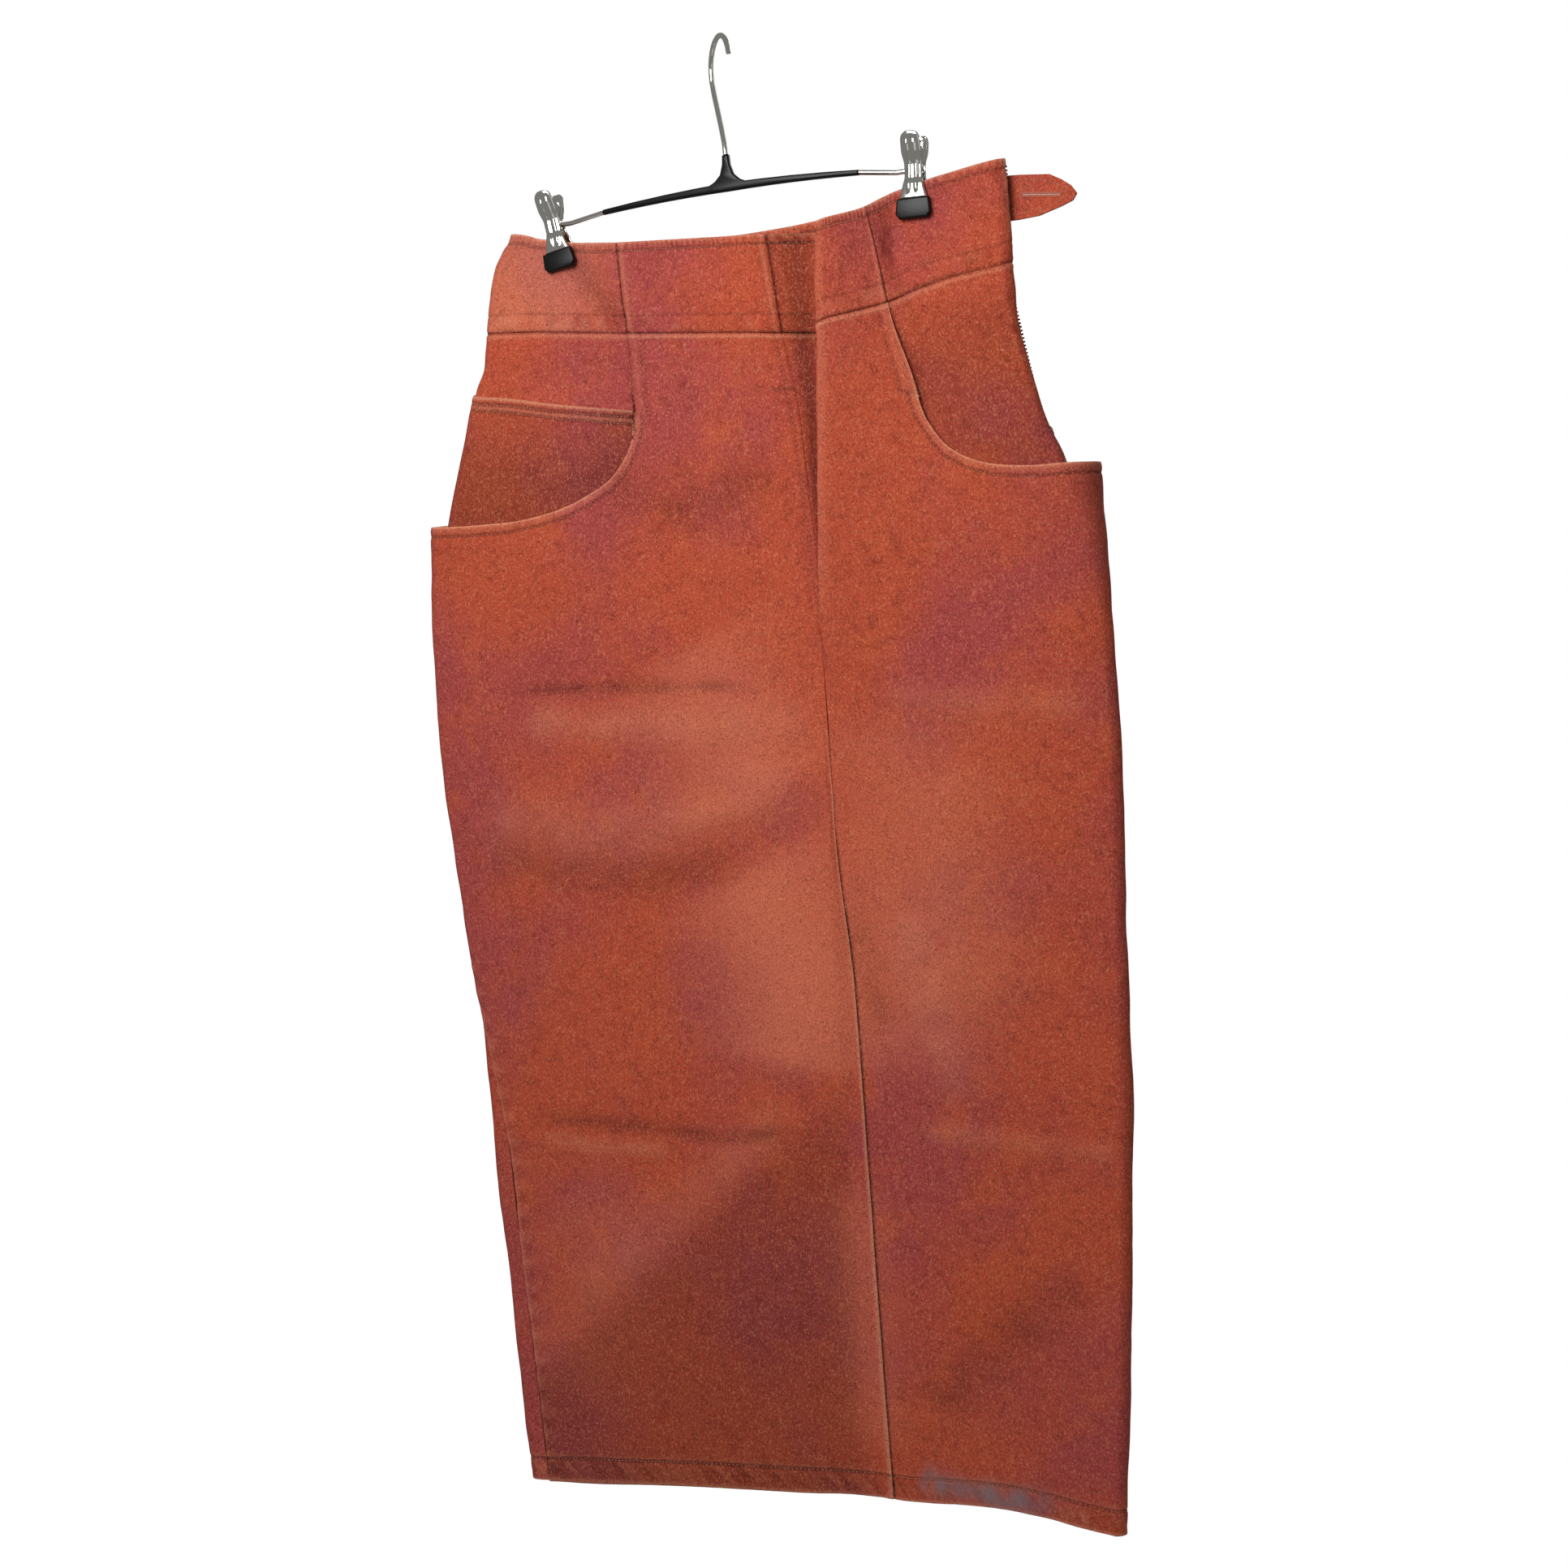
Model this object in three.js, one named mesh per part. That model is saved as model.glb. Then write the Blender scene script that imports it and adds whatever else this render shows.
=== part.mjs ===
import * as THREE from 'three';

// All sizes are millimetres. The origin is the inner top of the hanger's hook,
// X runs along the hanger bar, the front of the skirt faces -Y and +Z is up.

// Driving sizes
const BAND_WALL = 2.4;
const CLOTH_WALL = 1.6;
const COIN_WALL = 1.2;
const TAPE_WALL = 0.8;
const HEM_EXTRA = 1.4;
const HEM_HEIGHT = 17.5;
const SEAM_GAP = 0.34;
const SIDE_GAP_SHARE = 1.9;
const GIRTH = 1111;
const CENTRE_FRONT = 328;
const CENTRE_BACK = 840;
const LEFT_PRINCESS = 178;
const RIGHT_PRINCESS = 454;
const PINCH_Y = 1.5;
const PINCH_LEFT = [-155, -123];
const PINCH_RIGHT = [127, 159];
const NOSE_DEPTH = 6;
const FACING_SET_BACK = 4.1;
const MOUTH_LAP = 14;
const ZIP_TOP_GAP = 15;
const ZIP_END_Z = -302;
const TAPE_WIDTH = 13;
const TAPE_REACH = 3;
const UNDER_PANEL = 5;
const WIRE_RADIUS = 1.95;
const HOOK_RADIUS = 21;
const ROD_RADIUS = 1.8;

// Silhouette at the two corners of the flat-hung skirt
const OUTLINE = {
  z: [-112, -120, -128, -140, -160, -190, -212, -230, -270, -300, -322, -361, -386, -430,
    -520, -560, -600, -640, -680, -720, -760, -900, -960, -1082],
  left: [-180, -182, -188.5, -196, -202, -208, -212.7, -225, -238, -247.6, -254.4, -265, -271.7, -275.8,
    -275.2, -273.4, -269.6, -265.9, -260.7, -255.7, -254.4, -250, -246.2, -239.8],
  right: [208.4, 208.4, 208.8, 209.1, 209.2, 210, 212, 216, 225.5, 233.5, 243, 253, 260, 265.8,
    268, 267.1, 266, 264.8, 263.2, 262, 261.3, 253.4, 249, 239.2],
};

// Half gap between the front and the back just inside each corner
const CORNER = {
  z: [-112, -160, -200, -270, -330, -430, -700, -1082],
  left: [5, 5.2, 6.5, 8, 8.5, 8.5, 8, 6.5],
  right: [5, 5.2, 6.5, 8, 8.5, 8.5, 8, 6.5],
};

// Sideways place of the seams and of the two drape folds on the front
const FRONT_X = {
  z: [-112, -147, -180, -215, -270, -330, -380, -430, -480, -560, -700, -830, -960, -1082],
  princessLeft: [-89.5, -89, -87.5, -84, -83, -86, -89, -92, -92, -92, -90, -88, -86, -85],
  lowerFold: [-8, -4, 2, 8, 18, 28, 37, 45, 50.5, 52.2, 46.2, 40.6, 33, 31.5],
  centre: [27, 30.6, 34.3, 38.1, 47.4, 51.3, 54.4, 55.8, 56.4, 56.2, 64.4, 65.6, 67.2, 67.8],
  valley: [66, 68, 66.5, 65, 62.5, 59.5, 57.4, 57.2, 59, 64, 75, 77, 78, 78],
  ridge: [82, 81.3, 78.5, 76.6, 73.2, 67.3, 62.1, 59.2, 63, 74, 88, 90, 90, 90],
  princessRight: [106, 112.5, 119, 125, 140.6, 147, 149, 150, 151, 152, 150, 148, 143, 140],
};

// Depth of the front at the same places; less is nearer to the viewer
const FRONT_Y = {
  z: [-112, -155, -200, -270, -330, -430, -480, -560, -700, -830, -960, -1082],
  side: [-1.5, -1.5, -8, -12, -14, -15, -15, -14, -12, -10, -8, -6],
  princessLeft: [-7.5, -7.5, -8.5, -10, -12, -12, -10, -7, -5.5, -5, -5, -5],
  lowerFold: [-11, -11, -11, -10, -9.5, -10.5, -13, -15, -15, -14, -12, -8],
  centre: [-6, -6, -6.5, -6, -6, -10, -12.2, -12, -11, -10.5, -10, -7.5],
  valley: [2, 2, 3, 2, -0.5, -13, -12.4, -11, -10, -9.5, -9, -7],
  ridge: [-32, -32, -31.5, -30, -27, -17.5, -12.8, -11, -10, -9.5, -9, -7],
  princessRight: [-14, -14.5, -15, -14, -16, -16, -15, -13, -13, -12.5, -10, -7],
};

// Depth of the back beside the clips and across its middle
const BACK_Y = {
  z: [-112, -155, -200, -270, -330, -430, -560, -700, -830, -960, -1082],
  side: [1.5, 1.5, 8, 12, 14, 16, 16, 14, 12, 10, 8],
  middle: [11, 11, 14.5, 18, 20, 22, 21, 19, 17, 14, 12],
};

// Place of the side seams round the section
const SIDE_SEAM = {
  z: [-112, -200, -300, -330, -430, -560, -660, -700, -740, -780, -830, -1082],
  left: [-16, -16, -16, -16, -16, -8, 3, 9, 16, 22, 28, 28],
  right: [575, 580, 586, 600, 640, 655, 656, 657, 658, 658, 659, 660],
};

// Waist edge and band seam round the section
const WAIST = {
  at: [-14, 0, 30, 60, 106, 178, 290, 328, 350, 372, 454, 490, 524, 554, 568,
    582, 618, 654, 740, 840, 940, 1010, 1050, 1097],
  top: [-117, -116.5, -118.5, -123.5, -130, -135, -142.5, -144.7, -147.3, -145.5, -137, -128, -121.5, -117, -116,
    -116.3, -121, -127, -136, -139, -134.5, -129.5, -123, -117],
  seam: [-188, -188, -189.5, -192, -196, -202, -212.5, -215.8, -217.7, -215, -205, -198, -192, -188, -186.2,
    -186.5, -191, -197, -205, -208, -204, -198, -192, -188],
};

// Hem edge round the section
const HEM = {
  at: [-14, 14, 90, 178, 250, 290, 310, 350, 454, 500, 530, 568, 582, 618, 654, 740, 840,
    940, 1010, 1050, 1097],
  z: [-1081.5, -1081.2, -1077.5, -1074, -1070.5, -1068, -1068.3, -1070, -1068.5, -1072.5, -1078, -1081.5,
    -1081, -1078, -1073, -1070, -1069, -1071, -1074.5, -1077, -1081],
};

// Pocket mouths, from the princess seam out to the side
const MOUTH_LEFT = {
  at: [-16, -10, -4, 2, 9, 22, 45, 72, 99, 120, 138, 154, 167, 175, 178],
  z: [-328, -328.5, -329, -330, -331, -332, -333, -333, -330.5, -326, -319, -310, -296, -281, -268],
};
const MOUTH_RIGHT = {
  at: [454, 456, 462, 472, 486, 505, 525, 543, 554, 561, 568, 575, 582, 588, 594, 600],
  z: [-270, -284, -296, -309, -318, -324.5, -327.5, -329, -329, -329, -328.7, -328.3, -328, -328, -328, -328],
};

// How far the mouths stand off the facings, down from the mouth and along it
const MOUTH_DROP = {
  z: [-265, -325, -340, -355, -375, -400, -430],
  left: [10.3, 10.3, 8.8, 6.6, 3.4, 1.5, 0],
  right: [18.5, 18.5, 16, 12.5, 8, 3.4, 0],
};
const MOUTH_SPREAD_LEFT = { at: [-16, -4, 10, 60, 120, 178], part: [0, 0.85, 1, 0.55, 0.2, 0] };
const MOUTH_SPREAD_RIGHT = { at: [454, 500, 540, 560, 572, 600], part: [0, 0.25, 0.75, 1, 1, 0] };

// Rows of the panels below the pocket mouths
const LOW_ROWS = [-350, -375, -400, -430, -475, -520, -565, -610, -655, -700, -750, -800, -850,
  -900, -950, -1000, -1040];

const MOUTH_ROWS = 6;
const BAND_ROWS = 4;

// Materials
const cloth = new THREE.MeshStandardMaterial({ name: 'denim', color: '#a6513c', roughness: 0.9, metalness: 0 });
const tape = new THREE.MeshStandardMaterial({ name: 'zip_tape', color: '#4a2b26', roughness: 0.9, metalness: 0 });
const brass = new THREE.MeshStandardMaterial({ name: 'zip_metal', color: '#8c7448', roughness: 0.35, metalness: 1 });
const chrome = new THREE.MeshStandardMaterial({ name: 'chrome', color: '#d4d4d0', roughness: 0.12, metalness: 1 });
const vinyl = new THREE.MeshStandardMaterial({ name: 'black_vinyl', color: '#121212', roughness: 0.4, metalness: 0 });

const group = new THREE.Group();

function mix(a, b, part) {
  return a + (b - a) * part;
}

function ease(value, from, to) {
  const part = Math.min(1, Math.max(0, (value - from) / (to - from)));
  return part * part * (3 - 2 * part);
}

// Slope at a knot that never overshoots its neighbours
function kneeSlope(before, after, stepBefore, stepAfter) {
  if (before * after <= 0) return 0;
  const weightBefore = 2 * stepAfter + stepBefore;
  const weightAfter = stepAfter + 2 * stepBefore;
  return (weightBefore + weightAfter) / (weightBefore / before + weightAfter / after);
}

function hermite(a, b, slopeA, slopeB, step, part) {
  const p2 = part * part;
  const p3 = p2 * part;
  return a * (2 * p3 - 3 * p2 + 1) + slopeA * step * (p3 - 2 * p2 + part)
    + b * (3 * p2 - 2 * p3) + slopeB * step * (p3 - p2);
}

// Smooth value of a table column at a place along its first column
function look(places, values, place) {
  const rising = places[places.length - 1] > places[0];
  const keys = rising ? places : places.map((key) => -key);
  const key = rising ? place : -place;
  const last = keys.length - 1;
  if (key <= keys[0]) return values[0];
  if (key >= keys[last]) return values[last];
  let low = 0;
  while (keys[low + 1] < key) low += 1;
  const slope = (k) => (values[k + 1] - values[k]) / (keys[k + 1] - keys[k]);
  const step = (k) => keys[k + 1] - keys[k];
  const slopeLow = low === 0 ? slope(0) : kneeSlope(slope(low - 1), slope(low), step(low - 1), step(low));
  const slopeHigh = low + 1 === last ? slope(low)
    : kneeSlope(slope(low), slope(low + 1), step(low), step(low + 1));
  return hermite(values[low], values[low + 1], slopeLow, slopeHigh, step(low), (key - keys[low]) / step(low));
}

// The knots of one level section, from the left corner along the front and home along the back
function sectionKnots(z) {
  const left = look(OUTLINE.z, OUTLINE.left, z);
  const right = look(OUTLINE.z, OUTLINE.right, z);
  const gapLeft = look(CORNER.z, CORNER.left, z);
  const gapRight = look(CORNER.z, CORNER.right, z);
  const free = ease(z, -160, -235);
  const x = (column) => look(FRONT_X.z, FRONT_X[column], z);
  const y = (column) => look(FRONT_Y.z, FRONT_Y[column], z);
  const side = y('side');
  const outerSide = side * (1 - 0.1 * free);
  const backSide = look(BACK_Y.z, BACK_Y.side, z);
  const backOuter = backSide * (1 - 0.1 * free);
  const middle = look(BACK_Y.z, BACK_Y.middle, z);
  const inLeft = left + NOSE_DEPTH;
  const inRight = right - NOSE_DEPTH;
  const princessLeft = x('princessLeft');
  const princessRight = x('princessRight');
  const back = (part) => mix(inRight, inLeft, part);
  return [
    [0, left, 0],
    [14, inLeft, -gapLeft],
    [60, mix(PINCH_LEFT[0], mix(inLeft, princessLeft, 0.28), free), outerSide],
    [106, mix(PINCH_LEFT[1], mix(inLeft, princessLeft, 0.56), free), side],
    [LEFT_PRINCESS, princessLeft, y('princessLeft')],
    [290, x('lowerFold'), y('lowerFold')],
    [CENTRE_FRONT, x('centre'), y('centre')],
    [350, x('valley'), y('valley')],
    [372, x('ridge'), y('ridge')],
    [RIGHT_PRINCESS, princessRight, y('princessRight')],
    [490, mix(PINCH_RIGHT[0], mix(princessRight, inRight, 0.36), free), side],
    [524, mix(PINCH_RIGHT[1], mix(princessRight, inRight, 0.7), free), outerSide],
    [554, inRight, -gapRight],
    [568, right, 0],
    [582, inRight, gapRight],
    [618, mix(PINCH_RIGHT[1], back(0.075), free), backOuter],
    [654, mix(PINCH_RIGHT[0], back(0.15), free), backSide],
    [740, back(0.307), middle * 0.94],
    [CENTRE_BACK, back(0.5), middle],
    [940, back(0.695), middle * 0.92],
    [1010, mix(PINCH_LEFT[1], back(0.83), free), backSide],
    [1050, mix(PINCH_LEFT[0], back(0.909), free), backOuter],
    [1097, inLeft, gapLeft],
  ];
}

// Point on the section, set out along its normal, with the normal and the tangent
function onSection(place, z, out = 0) {
  const knots = sectionKnots(z);
  const count = knots.length;
  const at = ((place % GIRTH) + GIRTH) % GIRTH;
  let low = count - 1;
  while (knots[low][0] > at) low -= 1;
  const knot = (k) => knots[((k % count) + count) % count];
  const chord = (k) => Math.hypot(knot(k + 1)[1] - knot(k)[1], knot(k + 1)[2] - knot(k)[2]);
  const slope = (k, axis) => (knot(k + 1)[axis] - knot(k)[axis]) / chord(k);
  const knee = (k, axis) => kneeSlope(slope(k - 1, axis), slope(k, axis), chord(k - 1), chord(k));
  const start = knot(low)[0];
  const end = low === count - 1 ? GIRTH : knot(low + 1)[0];
  const part = (at - start) / (end - start);
  const step = chord(low);
  const value = (axis, t) => hermite(knot(low)[axis], knot(low + 1)[axis], knee(low, axis), knee(low + 1, axis), step, t);
  const small = 0.002;
  const before = Math.max(0, part - small);
  const after = Math.min(1, part + small);
  const dx = value(1, after) - value(1, before);
  const dy = value(2, after) - value(2, before);
  const size = Math.hypot(dx, dy);
  const tangent = [dx / size, dy / size];
  const speed = size / ((after - before) * (end - start));
  return {
    x: value(1, part) + tangent[1] * out,
    y: value(2, part) - tangent[0] * out,
    tangent,
    speed,
  };
}

const waistTop = (at) => look(WAIST.at, WAIST.top, at > 1104 ? at - GIRTH : at);
const bandSeam = (at) => look(WAIST.at, WAIST.seam, at > 1104 ? at - GIRTH : at);
const hemEdge = (at) => look(HEM.at, HEM.z, at > 1104 ? at - GIRTH : at);
const leftSeam = (z) => look(SIDE_SEAM.z, SIDE_SEAM.left, z);
const rightSeam = (z) => look(SIDE_SEAM.z, SIDE_SEAM.right, z);
const zipGap = (z) => (z > ZIP_END_Z ? mix(2.2, ZIP_TOP_GAP, ease(z, ZIP_END_Z, -112)) : 0);

// Step along the section that leaves half a seam gap
function halfGap(at, z) {
  return SEAM_GAP / 2 / onSection(at, z).speed;
}
const frontEdgeRight = (z) => rightSeam(z) - Math.max(zipGap(z) / 2, SIDE_GAP_SHARE * halfGap(rightSeam(z), z));
const backEdgeRight = (z) => rightSeam(z) + Math.max(zipGap(z) / 2, SIDE_GAP_SHARE * halfGap(rightSeam(z), z));
const frontEdgeLeft = (z) => leftSeam(z) + SIDE_GAP_SHARE * halfGap(leftSeam(z), z);
const backEdgeLeft = (z) => leftSeam(z) - SIDE_GAP_SHARE * halfGap(leftSeam(z), z) + GIRTH;

// Closed solid between two grids of points with the same rows and columns
function closeGrids(outer, inner) {
  const columns = outer.length;
  const rows = outer[0].length;
  const points = [];
  const faces = [];
  for (const grid of [outer, inner]) for (const column of grid) for (const point of column) points.push(...point);
  const index = (side, i, j) => side * columns * rows + i * rows + j;
  const apart = (a, b) => Math.hypot(
    points[3 * a] - points[3 * b],
    points[3 * a + 1] - points[3 * b + 1],
    points[3 * a + 2] - points[3 * b + 2],
  );
  const quad = (a, b, c, d) => {
    if (apart(a, c) <= apart(b, d)) faces.push(a, b, c, a, c, d);
    else faces.push(a, b, d, b, c, d);
  };
  for (let i = 0; i + 1 < columns; i += 1) {
    for (let j = 0; j + 1 < rows; j += 1) {
      quad(index(0, i, j), index(0, i, j + 1), index(0, i + 1, j + 1), index(0, i + 1, j));
      quad(index(1, i, j), index(1, i + 1, j), index(1, i + 1, j + 1), index(1, i, j + 1));
    }
    quad(index(0, i, 0), index(0, i + 1, 0), index(1, i + 1, 0), index(1, i, 0));
    quad(index(0, i, rows - 1), index(1, i, rows - 1), index(1, i + 1, rows - 1), index(0, i + 1, rows - 1));
  }
  for (let j = 0; j + 1 < rows; j += 1) {
    quad(index(0, 0, j), index(1, 0, j), index(1, 0, j + 1), index(0, 0, j + 1));
    quad(index(0, columns - 1, j), index(0, columns - 1, j + 1), index(1, columns - 1, j + 1), index(1, columns - 1, j));
  }
  const geometry = new THREE.BufferGeometry();
  geometry.setAttribute('position', new THREE.Float32BufferAttribute(points, 3));
  geometry.setIndex(faces);
  geometry.computeVertexNormals();
  return geometry;
}

function addMesh(name, geometry, material) {
  const mesh = new THREE.Mesh(geometry, material);
  mesh.name = name;
  group.add(mesh);
  return mesh;
}

// Cloth piece on the section: place(i, j) gives the place round it and the height
function addCloth(name, columns, rows, place, level, wall, extra = () => 0, material = cloth) {
  const outer = [];
  const inner = [];
  for (let i = 0; i < columns; i += 1) {
    const outerColumn = [];
    const innerColumn = [];
    for (let j = 0; j < rows; j += 1) {
      const [at, z] = place(i, j);
      const middle = level(at, z);
      const out = onSection(at, z, middle + wall / 2);
      const inn = onSection(at, z, middle - wall / 2 - extra(j));
      outerColumn.push([out.x, out.y, z]);
      innerColumn.push([inn.x, inn.y, z]);
    }
    outer.push(outerColumn);
    inner.push(innerColumn);
  }
  addMesh(name, closeGrids(outer, inner), material);
}

// Waistband: five pieces between the waist edge and the band seam
const CENTRE_LEFT_TOP = [178, 195, 212, 230, 248, 268, 288, 308, 328];
const CENTRE_RIGHT_TOP = [328, 339, 350, 358, 365, 372, 388, 404, 420, 437, 454];
const SIDE_LEFT_TOP = [-16, -9, -2, 5, 14, 34, 60, 83, 106, 130, 154, 178];
const SIDE_RIGHT_TOP = [454, 472, 490, 507, 524, 540, 554, 561, 568];
const BACK_RIGHT_PARTS = [0, 0.03, 0.07, 0.14, 0.21, 0.28, 0.38, 0.5, 0.62, 0.75, 0.88, 1];
const BACK_LEFT_PARTS = [0, 0.13, 0.26, 0.39, 0.52, 0.65, 0.73, 0.8, 0.86, 0.91, 0.94, 0.965, 0.985, 1];

const flat = () => 0;
const part = (value, from, to) => (value - from) / (to - from);

function addBand(name, places, from, to) {
  const first = places[0];
  const last = places[places.length - 1];
  addCloth(name, places.length, BAND_ROWS + 1, (i, j) => {
    const rough = places[i];
    const z = mix(waistTop(rough), bandSeam(rough) + SEAM_GAP / 2, j / BAND_ROWS);
    return [mix(from(z), to(z), part(rough, first, last)), z];
  }, flat, BAND_WALL);
}

const after = (at) => (z) => at + halfGap(at, z);
const until = (at) => (z) => at - halfGap(at, z);
addBand('band_front_side_left', SIDE_LEFT_TOP, frontEdgeLeft, until(LEFT_PRINCESS));
addBand('band_front_centre_left', CENTRE_LEFT_TOP, after(LEFT_PRINCESS), until(CENTRE_FRONT));
addBand('band_front_centre_right', CENTRE_RIGHT_TOP, after(CENTRE_FRONT), until(RIGHT_PRINCESS));
addBand('band_front_side_right', SIDE_RIGHT_TOP, after(RIGHT_PRINCESS), frontEdgeRight);

const BACK_TOP = [
  ...BACK_RIGHT_PARTS.map((share) => mix(583, CENTRE_BACK, share)),
  ...BACK_LEFT_PARTS.slice(1).map((share) => mix(CENTRE_BACK, GIRTH - 16, share)),
];
addBand('back_band', BACK_TOP, backEdgeRight, backEdgeLeft);

// Pocket facings, set back behind the panels, from the band seam to below the mouths
const facingLevel = (at, z) => -FACING_SET_BACK * ease(z, -200, -236);
const FACING_ROWS = 6;
const FACING_RIGHT = [454, 458, 464, 472, 490, 507, 524, 540, 554, 561, 568];

function addFacing(name, places, from, to, bottom) {
  const first = places[0];
  const last = places[places.length - 1];
  addCloth(name, places.length, FACING_ROWS + 1, (i, j) => {
    const rough = places[i];
    const z = mix(bandSeam(rough) - SEAM_GAP / 2, bottom(rough), j / FACING_ROWS);
    return [mix(from(z), to(z), part(rough, first, last)), z];
  }, facingLevel, CLOTH_WALL);
}

const underPanel = (z) => UNDER_PANEL * ease(z, -220, -240);
const mouthLeft = (at) => look(MOUTH_LEFT.at, MOUTH_LEFT.z, at);
const mouthRight = (at) => look(MOUTH_RIGHT.at, MOUTH_RIGHT.z, at);
const lap = (at, seam) => MOUTH_LAP + 4 * ease(Math.abs(at - seam), 30, 0);
const FACING_LEFT = [-16, -9, -2, 5, 14, 34, 60, 83, 106, 130, 150, 166, 174, 178];
const facingEndLeft = (z) => until(LEFT_PRINCESS)(z) + underPanel(z);
const facingStartRight = (z) => after(RIGHT_PRINCESS)(z) - underPanel(z);
addFacing('pocket_facing_left', FACING_LEFT, frontEdgeLeft, facingEndLeft,
  (at) => mouthLeft(at) - lap(at, LEFT_PRINCESS));
addFacing('pocket_facing_right', FACING_RIGHT, facingStartRight, frontEdgeRight,
  (at) => mouthRight(at) - lap(at, RIGHT_PRINCESS));

// Coin pocket: a patch on the left facing, open along its sloping top edge
const COIN_EDGE = { at: [-16, 10, 50, 96, 178], z: [-231, -233.5, -238.5, -246.5, -259] };
const COIN_ROWS = 6;
addCloth('coin_pocket', FACING_LEFT.length, COIN_ROWS + 1, (i, j) => {
  const rough = FACING_LEFT[i];
  const low = mouthLeft(rough) - lap(rough, LEFT_PRINCESS) + 2;
  const z = mix(look(COIN_EDGE.at, COIN_EDGE.z, rough), low, j / COIN_ROWS);
  return [mix(frontEdgeLeft(z) + 1, LEFT_PRINCESS - 1, part(rough, -16, 178)), z];
}, (at, z) => facingLevel(at, z) + CLOTH_WALL / 2 + COIN_WALL / 2 + 0.6, COIN_WALL);

// Panels: rows between the upper edge and the first low row, then the low rows and the turned hem
const hemRows = [(edge) => edge + HEM_HEIGHT + 1, (edge) => edge + HEM_HEIGHT, (edge) => edge];
const PANEL_ROWS = MOUTH_ROWS + LOW_ROWS.length + hemRows.length;
const hemExtra = (j) => (j >= PANEL_ROWS - 2 ? HEM_EXTRA : 0);

function panelHeight(j, top, at) {
  if (j < MOUTH_ROWS) return mix(top, LOW_ROWS[0], j / MOUTH_ROWS);
  const low = j - MOUTH_ROWS;
  if (low < LOW_ROWS.length) return LOW_ROWS[low];
  return hemRows[low - LOW_ROWS.length](hemEdge(at));
}

// Front panel on the viewer's left, side seam first
const LEFT_LOW = [-16, -10, -4, 2, 9, 22, 42, 62, 80, 96, 112, 127, 141, 154, 166, 177, 188, 199,
  211, 224, 238, 253, 270, 288, 308, 328];
const leftTop = [
  ...MOUTH_LEFT.at.map((at, k) => [at, MOUTH_LEFT.z[k]]),
  [178, -247],
  [178, -226],
  ...CENTRE_LEFT_TOP.map((at) => [at, bandSeam(at) - SEAM_GAP / 2]),
];
addCloth('front_panel_left', LEFT_LOW.length, PANEL_ROWS, (i, j) => {
  const [topAt, topZ] = leftTop[i];
  const lowAt = LEFT_LOW[i];
  const z = panelHeight(j, topZ, lowAt);
  const edge = frontEdgeLeft(z);
  const spread = mix(edge, until(CENTRE_FRONT)(z), part(lowAt, -16, CENTRE_FRONT));
  if (j >= MOUTH_ROWS) return [spread, z];
  const lowest = Math.max(edge, Math.min(topAt, until(CENTRE_FRONT)(z)));
  const start = topAt === LEFT_PRINCESS ? after(LEFT_PRINCESS)(z) : lowest;
  return [mix(start, spread, j / MOUTH_ROWS), z];
}, (at, z) => look(MOUTH_DROP.z, MOUTH_DROP.left, z)
  * look(MOUTH_SPREAD_LEFT.at, MOUTH_SPREAD_LEFT.part, at), CLOTH_WALL, hemExtra);

// Front panel on the viewer's right, centre front first
const RIGHT_LOW = [328, 339, 350, 358, 365, 372, 384, 396, 408, 420, 432, 444, 456, 467, 478, 489,
  499, 509, 519, 530, 542, 554, 561, 568, 575, 582];
const BEHIND_PARTS = [0.3, 0.65, 1];
const rightTop = [
  ...CENTRE_RIGHT_TOP.map((at) => [at, bandSeam(at) - SEAM_GAP / 2]),
  [454, -226],
  [454, -248],
  ...MOUTH_RIGHT.at.map((at, k) => [at, MOUTH_RIGHT.z[k]]),
];
addCloth('front_panel_right', rightTop.length, PANEL_ROWS, (i, j) => {
  const [topAt, topZ] = rightTop[i];
  const behind = i - RIGHT_LOW.length;
  const lowAt = behind < 0 ? RIGHT_LOW[i] : 620;
  const z = panelHeight(j, topZ, lowAt);
  const edge = frontEdgeRight(z);
  const spread = behind < 0 ? Math.max(RIGHT_LOW[i], after(CENTRE_FRONT)(z)) : mix(582, edge, BEHIND_PARTS[behind]);
  if (j >= MOUTH_ROWS) return [spread, z];
  let start = Math.max(topAt, after(CENTRE_FRONT)(z));
  if (topAt === RIGHT_PRINCESS) start = until(RIGHT_PRINCESS)(z);
  if (topAt > 582) start = mix(582, edge, part(topAt, 582, 600));
  return [mix(start, spread, j / MOUTH_ROWS), z];
}, (at, z) => look(MOUTH_DROP.z, MOUTH_DROP.right, z)
  * look(MOUTH_SPREAD_RIGHT.at, MOUTH_SPREAD_RIGHT.part, at), CLOTH_WALL, hemExtra);

// Back panels, joined at the centre back
addCloth('back_panel_right', BACK_RIGHT_PARTS.length, PANEL_ROWS, (i, j) => {
  const rough = mix(583, CENTRE_BACK, BACK_RIGHT_PARTS[i]);
  const z = panelHeight(j, bandSeam(rough) - SEAM_GAP / 2, mix(620, CENTRE_BACK, BACK_RIGHT_PARTS[i]));
  return [mix(backEdgeRight(z), until(CENTRE_BACK)(z), BACK_RIGHT_PARTS[i]), z];
}, flat, CLOTH_WALL, hemExtra);
addCloth('back_panel_left', BACK_LEFT_PARTS.length, PANEL_ROWS, (i, j) => {
  const rough = mix(CENTRE_BACK, GIRTH - 16, BACK_LEFT_PARTS[i]);
  const z = panelHeight(j, bandSeam(rough) - SEAM_GAP / 2, mix(CENTRE_BACK, GIRTH + 28, BACK_LEFT_PARTS[i]));
  return [mix(after(CENTRE_BACK)(z), backEdgeLeft(z), BACK_LEFT_PARTS[i]), z];
}, flat, CLOTH_WALL, hemExtra);

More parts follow.
